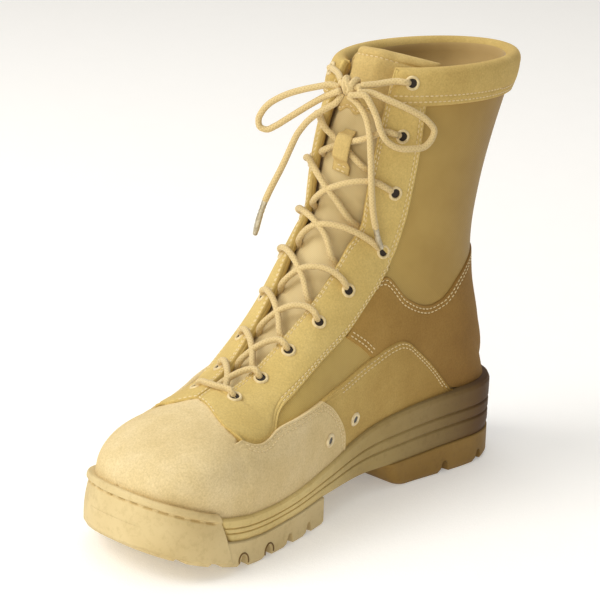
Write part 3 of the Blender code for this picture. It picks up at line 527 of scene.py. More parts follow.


# napped suede: broad cloudy tone, short brushed nap and a fuzzy sheen; with a heel shade, painted shade
# darkens it towards the heel
def suedeMaterial(name, light, mid, dark, heelShade=None):
    sheen = {"Sheen Weight": 0.22, "Sheen Roughness": 0.5, "Sheen Tint": linear((232, 196, 128))}
    made, tree, bsdf = newMaterial(name, 0.92, **sheen)
    space = patternSpace(tree)
    cloud = noiseOf(tree, space, suedeLook["cloud"], 4.0, 0.65)
    nap = noiseOf(tree, space, suedeLook["nap"], 3.0, 0.7)
    brushed = noiseOf(tree, patternSpace(tree, scale=(1.0, 1.0, 0.35)), 260.0, 2.0, 0.6)
    base = colourRamp(tree, cloud, ((0.2, dark), (0.5, mid), (0.8, light)))
    speck = colourRamp(tree, nap, ((0.3, (196, 190, 178)), (0.65, (255, 255, 255))))
    tinted = mixColour(tree, 0.45, base, speck, "MULTIPLY")
    if heelShade:
        tinted = heelShaded(tree, space, tinted, heelShade)
    tree.links.new(tinted, bsdf.inputs["Base Color"])
    height = mathNode(tree, "ADD", scaled(tree, nap, 0.7), scaled(tree, brushed, 0.5))
    bumpOf(tree, bsdf, height, 0.35, 0.0006)
    return made


nylonLook = {"warp": 4650.0, "weft": 6300.0}


# woven nylon: warp and weft as two crossed sine waves on the object's own coordinates; with a heel shade,
# painted shade darkens it towards the heel
def nylonMaterial(name, light, dark, sheen=0.15, heelShade=None):
    made, tree, bsdf = newMaterial(name, 0.72, **{"Sheen Weight": sheen, "Sheen Roughness": 0.4})
    space = patternSpace(tree)
    split = tree.nodes.new("ShaderNodeSeparateXYZ")
    tree.links.new(space, split.inputs[0])
    warp = mathNode(tree, "ADD", split.outputs[0], split.outputs[1])
    warp = mathNode(tree, "SINE", scaled(tree, warp, nylonLook["warp"]))
    weft = mathNode(tree, "SINE", scaled(tree, split.outputs[2], nylonLook["weft"]))
    weave = mathNode(tree, "MULTIPLY", warp, weft)
    cloud = noiseOf(tree, space, 24.0, 3.0, 0.6)
    base = colourRamp(tree, cloud, ((0.3, dark), (0.7, light)))
    # the weave's lines darken the cloth between the yarns: painted shade
    lines = scaled(tree, weave, 0.09, 0.93)
    shade = tree.nodes.new("ShaderNodeCombineColor")
    for key in range(3):
        tree.links.new(lines, shade.inputs[key])
    cloth = mixColour(tree, 1.0, base, shade.outputs[0], "MULTIPLY")
    if heelShade:
        cloth = heelShaded(tree, space, cloth, heelShade)
    tree.links.new(cloth, bsdf.inputs["Base Color"])
    bumpOf(tree, bsdf, weave, 0.25, 0.0002)
    return made


# moulded rubber: fine pebbled grain, faint scuffs, and dust that lightens broad patches; with a heel shade,
# painted shade darkens it towards the heel
def rubberMaterial(name, light, mid, dark, heelShade=None):
    made, tree, bsdf = newMaterial(name, 0.62, **{"Specular IOR Level": 0.3})
    space = patternSpace(tree)
    cloud = noiseOf(tree, space, 22.0, 3.0, 0.5)
    grain = noiseOf(tree, space, 1500.0, 2.0, 0.5)
    scuff = noiseOf(tree, space, 210.0, 6.0, 0.72)
    base = colourRamp(tree, cloud, ((0.3, dark), (0.52, mid), (0.75, light)))
    marks = colourRamp(tree, scuff, ((0.34, (226, 221, 210)), (0.5, (255, 255, 255))))
    tone = mixColour(tree, 0.5, base, marks, "MULTIPLY")
    if heelShade:
        tone = heelShaded(tree, space, tone, heelShade)
    tree.links.new(tone, bsdf.inputs["Base Color"])
    tree.links.new(scaled(tree, scuff, 0.25, 0.5), bsdf.inputs["Roughness"])
    bumpOf(tree, bsdf, grain, 0.22, 0.0003)
    return made


# worn metal or enamel: fine noise in tone and roughness
def metalMaterial(name, light, dark, roughness, metallic):
    made, tree, bsdf = newMaterial(name, roughness, Metallic=metallic)
    space = patternSpace(tree)
    wearAndShade = noiseOf(tree, space, 420.0, 4.0, 0.6)
    tree.links.new(colourRamp(tree, wearAndShade, ((0.3, dark), (0.65, light))), bsdf.inputs["Base Color"])
    tree.links.new(scaled(tree, wearAndShade, 0.25, roughness - 0.1), bsdf.inputs["Roughness"])
    bumpOf(tree, bsdf, wearAndShade, 0.08, 0.0002)
    return made


# braided cord: two crossed diagonal waves along the tube's own UV map
def cordMaterial(name, light, dark, picks):
    made, tree, bsdf = newMaterial(name, 0.8, **{"Sheen Weight": 0.2, "Sheen Roughness": 0.5})
    space = patternSpace(tree, "UV")
    split = tree.nodes.new("ShaderNodeSeparateXYZ")
    tree.links.new(space, split.inputs[0])
    along = scaled(tree, split.outputs[1], picks)
    around = scaled(tree, split.outputs[0], 2 * math.pi * 5)
    left = mathNode(tree, "SINE", mathNode(tree, "ADD", along, around))
    right = mathNode(tree, "SINE", mathNode(tree, "SUBTRACT", along, around))
    braid = mathNode(tree, "MAXIMUM", left, right)
    # the braid's hollows between strands are darker: painted shade
    tone = scaled(tree, braid, 0.22, 0.46)
    fibre = noiseOf(tree, patternSpace(tree), 700.0, 3.0, 0.6)
    mixed = mathNode(tree, "ADD", scaled(tree, tone, 0.75), scaled(tree, fibre, 0.3))
    tree.links.new(colourRamp(tree, mixed, ((0.25, dark), (0.75, light))), bsdf.inputs["Base Color"])
    bumpOf(tree, bsdf, braid, 0.45, 0.0003)
    return made


# one suede in copies: the vamp's is its lit tone; the counter (suedeHeel), cuff, foxing, eyestay and tongue
# copies are darker and more saturated as painted shade, and the counter's and foxing's also darken towards
# the heel as painted shade
suede = suedeMaterial("suede", (232, 212, 168), (221, 199, 149), (208, 184, 131))
suedeHeel = suedeMaterial("suedeHeel", (200, 165, 92), (188, 151, 78), (174, 137, 66), (178, 158, 118))
suedeCuff = suedeMaterial("suedeCuff", (212, 184, 114), (200, 171, 100), (188, 157, 88))
suedeFoxing = suedeMaterial("suedeFoxing", (222, 194, 120), (210, 180, 105), (197, 165, 91), (176, 154, 106))
suedeStay = suedeMaterial("suedeStay", (222, 196, 126), (211, 184, 112), (199, 170, 98))
suedeTongue = suedeMaterial("suedeTongue", (216, 190, 126), (205, 177, 112), (193, 163, 98))
# nylon darkening towards the heel: painted shade
nylon = nylonMaterial("nylon", (208, 180, 104), (192, 162, 86), heelShade=(204, 188, 156))
nylonTongue = nylonMaterial("nylonTongue", (220, 198, 146), (206, 183, 130))
lining = nylonMaterial("lining", (190, 158, 98), (168, 136, 80), 0.3)
# midsole darkening strongly towards the heel: painted shade
midRubber = rubberMaterial("midRubber", (220, 197, 134), (212, 188, 124), (200, 174, 110), (104, 79, 46))
treadRubber = rubberMaterial("treadRubber", (214, 193, 144), (205, 183, 133), (194, 170, 118))
# heel rubber darker than the tread rubber: partly its own darker rubber, partly painted shade of the heel
heelRubber = rubberMaterial("heelRubber", (154, 122, 62), (142, 110, 52), (126, 96, 42))
# dark rubber for the lug marks: painted shade of pressed grooves
grooveShadeRubber = rubberMaterial("grooveShadeRubber", (122, 94, 50), (108, 82, 42), (92, 70, 34))
enamel = metalMaterial("enamel", (228, 208, 160), (202, 178, 126), 0.42, 0.0)
ventMetal = metalMaterial("ventMetal", (238, 220, 178), (206, 184, 138), 0.38, 0.2)
tipMetal = metalMaterial("tipMetal", (206, 196, 172), (160, 146, 116), 0.36, 0.75)
thread = cordMaterial("thread", (240, 222, 176), (206, 180, 128), 300.0)
cordLook = cordMaterial("cord", (222, 197, 142), (192, 165, 108), 3000.0)
# dark plate in each eyelet's hole: painted shade inside the hole
holeShade = nylonMaterial("eyeletHoleShade", (46, 32, 20), (32, 22, 13), 0.0)
meshGrey = metalMaterial("ventMesh", (104, 100, 96), (58, 56, 54), 0.5, 0.3)
print("stage: materials")


# one surface from several grids with their flips, joined where borders meet, then given a wall inwards
def surfacePiece(name, grids, looks, thick, lined=None):
    points, faces, index, start = [], [], [], 0
    for grid, flip in grids:
        points.append(grid.reshape(-1, 3))
        faces.append(gridFaces(*grid.shape[:2], start=start, flip=flip))
        start += len(points[-1])
        column = np.arange(len(faces[-1])) % (grid.shape[1] - 1)
        index.append(column >= (grid.shape[1] if lined is None else lined))
    made = meshObject(name, toWorld(np.concatenate(points)), np.concatenate(faces), looks)
    made.data.polygons.foreach_set("material_index", np.concatenate(index).astype(np.int32))
    weld(made, 4e-5, closed=False)
    if thick:
        thicken = made.modifiers.new("wall", "SOLIDIFY")
        thicken.thickness = thick * boot["mm"]
        thicken.offset = -1.0
        thicken.use_quality_normals = True
        thicken.material_offset = len(looks) - 1
    return made


# nylon wall: two halves from the feather line to the throat's edge, joined over the toe,
# a little sunk under the counter
wall = {"rows": 150, "columns": 42, "thick": 2.4, "topRow": 15.85,
        "sunk": 0.9, "sunkRow": 8.9, "sunkReach": 1.1}


def buildWall():
    throatRow = boot["throatRow"]
    front = throatRow * np.linspace(0, 1, 46) ** 1.7
    rows = np.concatenate([front, np.linspace(throatRow, wall["topRow"], wall["rows"])[1:]])
    up = np.linspace(0, 1, wall["columns"])
    half = np.linspace(0, 1, 9)
    grids = []
    for side in (1, -1):
        edge = throatShare(rows, side)[:, None]
        sunk = np.exp(-(((rows[:, None] - wall["sunkRow"]) / wall["sunkReach"]) ** 2))
        sunk = sunk * (1 - ramp(edge * up, 0.3, 0.55)) * wall["sunk"]
        grids.append((overUpper(rows[:, None], edge * up, side, -sunk), side > 0))
        edge = edge[: len(front)]
        grids.append((overUpper(front[:, None], edge + (1 - edge) * half, side, 0.0), side > 0))
    return finishPiece(surfacePiece("upperWall", grids, [nylon, lining], wall["thick"]), "nylon", "upper")


upperWall = buildWall()
print("stage: upper wall")

# suede panels lie between two edges given as side-view patterns (u, height)
panelCut = {
    "foxingTop": ((183, 72.5), (178, 74.2), (154, 79.6), (128.4, 88.1), (114, 92.4), (106, 93.2),
                  (99.5, 91.2), (92.8, 86.0), (73.8, 70.1), (62, 58.7), (54.0, 50.9)),
    "counterTop": ((121, 128.2), (116.6, 131.9), (98.8, 117.3), (88, 111.6), (80, 110.0), (72, 111.4),
                   (54.7, 123.9), (36, 134.0), (22.0, 137.6)),
    "counterLow": ((149, 103), (138, 95), (127, 86.4), (116, 86.0), (106, 86.5), (98, 84), (89, 78),
                   (70, 62), (58, 54), (48, 51)),
    "vampTop": ((245.6, 67.0), (240.0, 64.6), (233.0, 63.6), (226.0, 64.7), (219.5, 66.9), (200.9, 70.1),
                (188.0, 72.2), (178.5, 74.1)),
    "vampBack": ((178.5, 74.1), (171.0, 69.2), (164.4, 62.6), (158.6, 55.6), (154.3, 48.2), (150.6, 36.6)),
    "eyestayBack": ((92.8, 238.0), (93.6, 233.6), (96.4, 208.3), (100.7, 178.5), (104.0, 160.0),
                    (109.0, 143.0), (117.0, 132.5), (131.0, 119.0), (148.4, 104.6), (172.9, 92.4),
                    (193.7, 82.0), (213.0, 71.6), (219.5, 64.4)),
    "flapLow": ((219.5, 64.4), (226.0, 61.8), (233.0, 60.8), (240.0, 62.4), (244.8, 65.6), (247.8, 69.0),
                (248.9, 72.0)),
    "flapTop": ((228.6, 84.6), (233.0, 83.0), (239.0, 80.4), (244.0, 77.6), (247.0, 75.4), (248.4, 73.6),
                (248.9, 72.0)),
}
# heights of the panels above the wall, in millimetres; low is where a cut edge ends
panelLift = {"counter": 1.0, "foxing": 1.7, "vamp": 1.8, "wing": 2.5, "eyestay": 1.9, "flap": 3.5,
             "under": 0.6, "low": -0.3}
# samples from a border inwards
edgeSteps = np.array([0, 0.06, 0.2, 0.42, 0.72, 1.1, 1.5, 1.9, 2.25, 2.6, 3.0, 3.5, 4.0, 4.4, 4.75, 5.1,
                      5.6, 6.4])
# distances of the stitched rows from a border, and the trough under them
stitchRows = {"near": 2.25, "far": 4.75, "close": 1.25, "next": 3.0, "trough": 0.42, "width": 0.48}


# share across a panel of each sample: fine steps at both edges, even between; widths in millimetres
def acrossSteps(widths, middle):
    reach = edgeSteps[None, :] * np.minimum(1.0, widths[:, None] * 0.42 / edgeSteps[-1])
    low = reach / np.maximum(widths[:, None], 1e-6)
    high = 1 - low[:, ::-1]
    between = np.linspace(0, 1, middle + 2)[1:-1]
    return np.concatenate([low, low[:, -1:] + (high[:, :1] - low[:, -1:]) * between, high], 1)


# quarter-round edge: 0 at the rim, 1 from the radius on
def rolled(distance, radius=0.9):
    f = np.clip(distance / radius, 0, 1)
    return np.sqrt(1 - (1 - f) ** 2)


# grid between two edges in row and share, with the distances to its four borders in millimetres
def panelGrid(first, second, side, middle=12):
    widths = np.linalg.norm(upperPoint(*first.T, side) - upperPoint(*second.T, side), axis=-1)
    across = acrossSteps(widths, middle)
    row = first[:, :1] + (second[:, :1] - first[:, :1]) * across
    share = first[:, 1:] + (second[:, 1:] - first[:, 1:]) * across
    base = upperPoint(row, share, side)
    gone, along = lengthsAlong(base, 1), lengthsAlong(base, 0)
    away = {"first": gone, "second": gone[:, -1:] - gone, "start": along, "end": along[-1:] - along}
    return {"row": row, "share": share, "side": side, "away": away}


# height of a panel: full lift, rolled off at the cut borders, with a trough under each stitched row
def panelHeight(panel, lift, cut, stitched, bead=0.0):
    away = panel["away"]
    lift = lift + bead * np.exp(-(((away["second"] - 0.9) / 0.55) ** 2))
    edge = np.ones_like(panel["row"])
    for border in cut:
        edge = np.minimum(edge, rolled(away[border]))
    height = panelLift["low"] + (lift - panelLift["low"]) * edge
    for border, distance in stitched:
        gap = (away[border] - stitchRows[distance]) / stitchRows["width"]
        height = height - stitchRows["trough"] * np.exp(-(gap**2)) * (edge > 0.98)
    panel["height"] = height
    return overUpper(panel["row"], panel["share"], panel["side"], height)


stitchRuns = []


# curve at one distance inside a border, read between the grid's samples, kept as a run of stitches
def stitchAlong(panel, border, distance, span=(0.0, 1.0)):
    field = panel["away"][border]
    arrays = [field, panel["row"], panel["share"], panel["height"]]
    if border in ("start", "end"):
        arrays = [a.T for a in arrays]
    if border in ("second", "end"):
        arrays = [a[:, ::-1] for a in arrays]
    field = arrays[0]
    keep = np.nonzero(field[:, -1] > 1.6 * distance)[0]
    keep = keep[(keep >= span[0] * len(field)) & (keep <= span[1] * len(field))]
    field = field[keep]
    at = np.clip((field < distance).sum(1), 1, field.shape[1] - 1)[:, None]
    before, after = np.take_along_axis(field, at - 1, 1), np.take_along_axis(field, at, 1)
    f = (distance - before) / np.maximum(after - before, 1e-9)
    spots = [np.take_along_axis(a[keep], at - 1, 1) * (1 - f) + np.take_along_axis(a[keep], at, 1) * f
             for a in arrays[1:]]
    row, share, height = (s[:, 0] for s in spots)
    line = overUpper(row, share, panel["side"], height)
    stitchRuns.append((line, upperNormal(row, share, panel["side"])))


def stitchPanel(panel, stitched, span=(0.0, 1.0)):
    for border, distance in stitched:
        stitchAlong(panel, border, stitchRows[distance], span)


both = (("second", "near"), ("second", "far"))


# row of the foot whose section starts at u
def rowAtU(u):
    return np.interp(u, upperSections[9::-1, 1], upperSections[9::-1, 0])


def featherEdge(fromU, toU, samples):
    return np.stack([rowAtU(np.linspace(fromU, toU, samples)), np.zeros(samples)], -1)


def buildFoxing(side, name):
    top = patternEdge(panelCut["foxingTop"], side, 150)
    panel = panelGrid(featherEdge(157, 54, 150), top, side)
    points = panelHeight(panel, panelLift["foxing"], ("second",), both, 0.5)
    stitchPanel(panel, both, (0.14, 0.99))
    made = surfacePiece(name, [(points, side > 0)], [suedeFoxing], 1.2)
    return finishPiece(made, "suede", "foxing_medial" if side > 0 else "foxing_lateral")


# vamp: a wing from the bar tack back to its rear seam, and a toe whose rows end on the wing
# and under the flap
def buildVamp():
    grids = []
    throatRow = boot["throatRow"]
    last = rowAtU(151.5)
    for side in (1, -1):
        second = np.concatenate([patternEdge(panelCut["vampTop"], side, 110),
                                 patternEdge(panelCut["vampBack"], side, 70)[1:]])
        first = np.stack([np.linspace(second[0, 0], last, len(second)), np.zeros(len(second))], -1)
        wing = panelGrid(first, second, side, 22)
        grids.append((panelHeight(wing, panelLift["wing"], ("second",), both, 0.5), side > 0))
        stitchPanel(wing, both, (0.0, 0.985))
        edge = throatShare(np.array([throatRow]), side)[0]
        hidden = np.linspace(second[0], (throatRow, edge), 30)[1:]
        ridge = np.stack([np.full(12, throatRow), np.linspace(edge, 1, 13)[1:]], -1)
        ends = np.concatenate([np.stack([wing["row"][0], wing["share"][0]], -1), hidden, ridge])
        row = ends[None, :, 0] * np.linspace(0, 1, 110)[:, None] ** 1.5
        share = np.broadcast_to(ends[None, :, 1], row.shape)
        gone = lengthsAlong(upperPoint(row, share, side), 0)
        meet = np.concatenate([wing["height"][0], np.full(len(hidden) + len(ridge), panelLift["under"])])
        near = 1 - ramp(gone[-1:] - gone, 0, np.where(share > wing["share"][0, -1], 5.0, 7.0))
        lift = panelLift["vamp"] + (meet - panelLift["vamp"]) * near
        grids.append((overUpper(row, share, side, lift), side > 0))
    made = surfacePiece("vampPanel", grids, [suede], 1.3)
    return finishPiece(made, "suede", "vamp")


# counter: from the eyestay's edge round the back of the heel, both sides joined at the back seam
def buildCounter():
    grids = []
    for side in (1, -1):
        low = patternEdge(panelCut["counterLow"], side, 130)
        rear = np.stack([9.0 - (9.0 - low[-1, 0]) * np.linspace(1, 0, 40)[1:] ** 2.4, np.zeros(39)], -1)
        top = patternEdge(panelCut["counterTop"], side, 150)
        end = np.interp(139.0, upperSections[9:, 2], upperSections[9:, 0])
        top = np.concatenate([top, np.stack([np.linspace(top[-1, 0], end, 20)[1:],
                                             np.linspace(top[-1, 1], 0, 20)[1:]], -1)])
        panel = panelGrid(np.concatenate([low, rear]), top, side, 24)
        strip = (("first", "near"), ("first", "far"))
        panel["away"]["first"] = panel["away"]["first"] + 6 * ramp(np.arange(len(top))[:, None], 40, 60)
        points = panelHeight(panel, panelLift["counter"], ("second", "first"), both)
        grids.append((points, side > 0))
        stitchPanel(panel, both)
        stitchPanel(panel, strip, (0.0, 0.16))
    made = surfacePiece("counterPanel", grids, [suedeHeel], 1.3)
    return finishPiece(made, "suede", "counter")


# samples along an eyestay where its flap rises, dips under the wing and comes free again
stayPlaces = {"rise": (236, 294), "dip": (236, 256), "free": (308, 322)}


# eyestay: from the throat's edge back to its seam, with the flap over the vamp in front
def buildEyestay(side, name):
    rows = np.linspace(15.9, boot["throatRow"], 260)
    throat = np.stack([rows, throatShare(rows, side)], -1)
    free = patternEdge(panelCut["flapTop"], side, 60)
    first = np.concatenate([throat, np.linspace(throat[-1], free[0], 16)[1:], free[1:]])
    second = np.concatenate([patternEdge(panelCut["eyestayBack"], side, 260),
                             patternEdge(panelCut["flapLow"], side, 75)[1:]])
    panel = panelGrid(first, second, side, 12)
    place = np.arange(len(first))[:, None]
    raised = ramp(place, *stayPlaces["rise"])
    lift = panelLift["eyestay"] + (panelLift["flap"] - panelLift["eyestay"]) * raised
    sunk = ramp(place, *stayPlaces["dip"]) * (1 - ramp(place, *stayPlaces["free"]))
    sunk = sunk * (1 - ramp(panel["away"]["second"], 2.0, 8.0))
    lift = lift + (panelLift["under"] - lift) * sunk
    throatRows = (("first", "close"), ("first", "next"))
    points = panelHeight(panel, lift, ("first", "second"), (*both, *throatRows))
    stitchPanel(panel, both, (0.02, 0.72))
    stitchPanel(panel, throatRows, (0.02, 0.77))
    stitchPanel(panel, throatRows[:1], (0.83, 0.97))
    made = surfacePiece(name, [(points, side > 0)], [suedeStay], 1.5)
    return finishPiece(made, "suede", "eyestay_medial" if side > 0 else "eyestay_lateral")


foxingMedial = buildFoxing(1, "foxingMedial")
foxingLateral = buildFoxing(-1, "foxingLateral")
vampPanel = buildVamp()
counterPanel = buildCounter()
eyestayMedial = buildEyestay(1, "eyestayMedial")
eyestayLateral = buildEyestay(-1, "eyestayLateral")
print("stage: panels")

# padded cuff: an outer face up from its stitched edge, a roll over the collar and a lined inner face
cuff = {"topRow": 16.0, "roll": 6.4, "out": 2.9, "bulge": 0.8, "in": -6.8, "insideRow": 13.4, "end": 6.0,
        "suedeOver": 20, "step": 0.05, "tallest": 1.9}
# height of its stitched edge along u
cuffLow = ((-40, 36, 92, 160), (231.5, 233.0, 234.4, 234.6))


# the profile runs outer edge, outer face, half-ellipse roll, inner face; the path runs round the collar
def buildCuff():
    grids = []
    path = np.concatenate([1 - np.linspace(0, 1, 40) ** 1.6 * 0.3, np.linspace(0.7, 0, 90)[1:]])[:, None]
    rise = np.concatenate([[0, 0.004, 0.014, 0.03, 0.05], np.linspace(0.08, 1, 26)])[None, :]
    turn = np.linspace(0, np.pi, 24)[None, 1:]
    down = np.linspace(0, 1, 14)[None, 1:]
    middle, reach = (cuff["out"] + cuff["in"]) / 2, (cuff["out"] - cuff["in"]) / 2
    everywhere = np.ones_like(path)
    for side in (1, -1):
        topShare = throatShare(np.array([cuff["topRow"]]), side)[0] * path
        top = upperPoint(np.full_like(topShare, cuff["topRow"]), topShare, side)
        step = upperPoint(np.full_like(topShare, cuff["topRow"] - cuff["step"]), topShare, side)
        speed = np.linalg.norm(top - step, axis=-1) / cuff["step"]
        baseRow = cuff["topRow"] - cuff["roll"] / speed
        lowZ = np.interp(step[..., 1], *cuffLow)
        tall = (top[..., 2] - lowZ) / np.maximum(top[..., 2] - step[..., 2], 1e-6) * cuff["step"]
        lowRow = cuff["topRow"] - np.minimum(tall, cuff["tallest"])
        row = lowRow + (baseRow - lowRow) * rise
        high = speed * (row - lowRow)
        lift = panelLift["low"] + (cuff["out"] - panelLift["low"]) * rolled(high, 1.2)
        lift = lift + cuff["bulge"] * np.sin(np.pi * np.clip(rise, 0, 1)) ** 0.8 * (rise > 0.05)
        for distance in ("near", "far"):
            lift = lift - 0.5 * np.exp(-(((high - stitchRows[distance]) / 0.6) ** 2))
        rollRow = baseRow + np.sin(turn) * cuff["roll"] / speed
        rollLift = middle + reach * np.cos(turn)
        inRow = baseRow + (cuff["insideRow"] - baseRow) * down
        inLift = cuff["in"] + (-1.9 - cuff["in"]) * down**1.5 + 1.4 * np.exp(-(((down - 0.16) / 0.07) ** 2))
        allRow = np.concatenate([row, rollRow, inRow], 1)
        allLift = np.concatenate([lift, rollLift * everywhere, inLift * everywhere], 1)
        allShare = throatShare(allRow, side) * path
        close = rolled(lengthsAlong(overUpper(allRow, allShare, side, 0.0), 0), cuff["end"])
        allLift = middle + (allLift - middle) * close
        grids.append((overUpper(allRow, allShare, side, allLift), side > 0))
        for distance in ("near", "far"):
            at = np.argmin(np.abs(high - stitchRows[distance]), axis=1)
            pick = np.arange(len(at))
            spots = [a[pick, at][6:] for a in (row, allShare, allLift)]
            line = overUpper(spots[0], spots[1], side, spots[2])
            stitchRuns.append((line, upperNormal(spots[0], spots[1], side)))
    made = surfacePiece("cuffRoll", grids, [suedeCuff, lining], 0.0, rise.size + cuff["suedeOver"])
    finishPiece(made, "suede", "cuff")
    return made


cuffRoll = buildCuff()
print("stage: cuff")

# padded tongue: crowned across, thin at its rim, with soft folds under the lace
# and a suede patch on its free top, sewn near both ends
tongue = {"rows": (1.5, 17.15), "under": 13.0, "thick": 3.5, "rim": 4.0, "patchRow": 13.75, "patch": 1.0,
          "sewnLow": 0.17, "sewnHigh": 0.62}
# depth under the throat's edge by row; folds: row, width, height
tongueDepth = np.array([(1.5, 4.6), (8, 4.6), (11.5, 4.6), (12.6, 4.6), (13.2, 5.0), (14.4, 7.2),
                        (18, 7.4)])
tongueFolds = ((4.6, 0.10, -0.5), (6.9, 0.16, -0.7), (8.9, 0.2, -0.8), (10.2, 0.16, 0.5),
               (12.5, 0.18, -0.5))


def tongueBase(row):
    return -np.interp(row, tongueDepth[:, 0], tongueDepth[:, 1])


# lift of the tongue's face: below the throat's edge, with folds, and swollen between the eyestays
# near the top
def tongueLift(row, out, opening):
    lift = tongueBase(row)
    for place, width, height in tongueFolds:
        lift = lift + height * np.exp(-(((row + 0.012 * out - place) / width) ** 2))
    swell = 3.2 * ramp(row, 13.9, 15.4) + 2.2 * ramp(row, 15.2, 16.2)
    return lift + swell * (1 - ramp(np.abs(out) / opening, 0.45, 1.1))


def buildTongue():
    low, high = tongue["rows"]
    seam = tongue["patchRow"]
    before, after = seam - 0.15, seam + 0.15
    rows = np.concatenate([np.linspace(low, before, 110), np.linspace(before, after, 25)[1:],
                           np.linspace(after, high, 80)[1:]])[:, None]
    across = np.linspace(-1, 1, 81)[None, :]
    table = smooth(throatTable, rows[:, 0])
    opening = np.where(across >= 0, table[:, :1], table[:, 1:])
    reach = opening + tongue["under"] + 8.0 * ramp(rows, 14.6, 16.0)
    corner = ramp(rows, 14.4, high)
    out = across * reach * np.where(rows < boot["throatRow"], 0.8, 1.0) * (1 - 0.05 * corner**2)
    scallop = 0.11 * np.cos(out * 0.42) * np.exp(-(((rows - seam) / 0.6) ** 2))
    row = rows + scallop - 1.15 * corner * np.abs(across) ** 2.6
    flat = overThroat(row, out, tongueBase(row))
    side = np.minimum(lengthsAlong(flat, 1), lengthsAlong(flat[:, ::-1], 1)[:, ::-1])
    end = np.minimum(lengthsAlong(flat, 0), lengthsAlong(flat[::-1], 0)[::-1])
    full = rolled(np.minimum(side, end), tongue["rim"])
    sewnRows = (seam + tongue["sewnLow"], high - tongue["sewnHigh"])
    sewn = sum(deep * np.exp(-(((rows - place) / width) ** 2))
               for place, deep, width in zip(sewnRows, (0.5, 0.8), (0.04, 0.06)))
    patch = tongue["patch"] * ramp(rows, seam - 0.03, seam + 0.03) - sewn
    tucked = 1.8 * ramp(np.abs(out) - opening, 0.0, 9.0) * ramp(rows, 14.2, 15.0)
    upper = tongueLift(row, out, opening) + patch * full - tucked
    under = tongueBase(row) - tongue["thick"] - tucked
    middle = (upper + under) / 2
    outer = overThroat(row, out, middle + (upper - middle) * full)
    inner = overThroat(row, out, middle + (under - middle) * full)
    for place in sewnRows:
        at = np.abs(rows[:, 0] - place).argmin()
        keep = np.abs(out[at]) < opening[at] + 2
        spots = (row[at][keep], out[at][keep], upper[at][keep])
        line = overThroat(*spots)
        stitchRuns.append((line, overThroat(spots[0], spots[1], spots[2] + 1) - line))
    suedeFace = np.repeat((rows[:-1, 0] + rows[1:, 0]) / 2 > seam, across.shape[1] - 1)
    looks = [nylonTongue, suedeTongue]
    made = closedBody("tonguePad", toWorld(outer), toWorld(inner), looks, index=suedeFace)
    finishPiece(made, "tongue_nylon", "tongue")
    return made


tonguePad = buildTongue()
print("stage: tongue")

# sole
soleSize = {
    "bumperWall": 6.0, "shoulder": (264.0, 272.0), "forefootBack": 176.0, "breast": (101.5, 110.0),
    "grooveWidth": 3.8, "grooveSoft": 0.5, "gap": 0.3, "corner": 6.0, "turn": 2.6,
}
# slots between the lugs: place on the sole, slant, distance from the centre line where they start, depth
forefootGrooves = ((290, 0.10, 12, 4.0), (271, 0.08, 13, 4.2), (252, 0.05, 14, 4.5), (234, -0.04, 14, 4.8),
                   (216, -0.10, 14, 4.8), (198, -0.14, 13, 4.8))
heelGrooves = ((60, 0.02, 11, 5.2), (31, -0.08, 10, 5.2))


# how far the tread's edge stands out beyond the outline, more towards the toe
def flare(u):
    return 0.8 + 2.4 * np.clip((u - 215) / 85, 0, 1) ** 1.3


toeEnd = boot["length"] + float(flare(np.array(boot["length"])))


# stations from start to end, closer together towards the named end
def eased(start, end, count, ease):
    t = np.linspace(0, 1, count)
    shape = np.sin(np.pi * t / 2) if ease == "end" else 1 - np.cos(np.pi * t / 2)
    return start + (end - start) * shape


# even samples in each band between the given limits
def inBands(limits, counts):
    bands = [np.linspace(low, high, n)[1:] for low, high, n in zip(limits, limits[1:], counts)]
    return np.concatenate([limits[:1], *bands])


# closed body through rings, bottom to top: each has a medial and a lateral edge over the same stations
def ringBody(name, medial, lateral, look):
    levels, count = medial.shape[:2]
    loop = 2 * count
    points = np.concatenate([medial, lateral[:, ::-1]], 1)
    k = np.arange(count - 1)
    caps = np.stack([k, k + 1, loop - 2 - k, loop - 1 - k], -1)
    faces = [gridFaces(levels, loop, closeM=True), caps, caps + (levels - 1) * loop]
    made = meshObject(name, toWorld(points.reshape(-1, 3)), np.concatenate(faces), look)
    return weld(made, 1e-6)


# step of the midsole's side at a share of its height: flat band, two grooves, rounded top and tucked foot
def midsoleStep(share):
    band = -0.4 + 0.75 * ramp(share, 0.0, 0.16) - 1.1 * ramp(share, 0.9, 1.0) ** 2
    grooves = sum(np.exp(-(((share - c) / 0.024) ** 2)) for c in (0.355, 0.585))
    return band - 1.25 * grooves


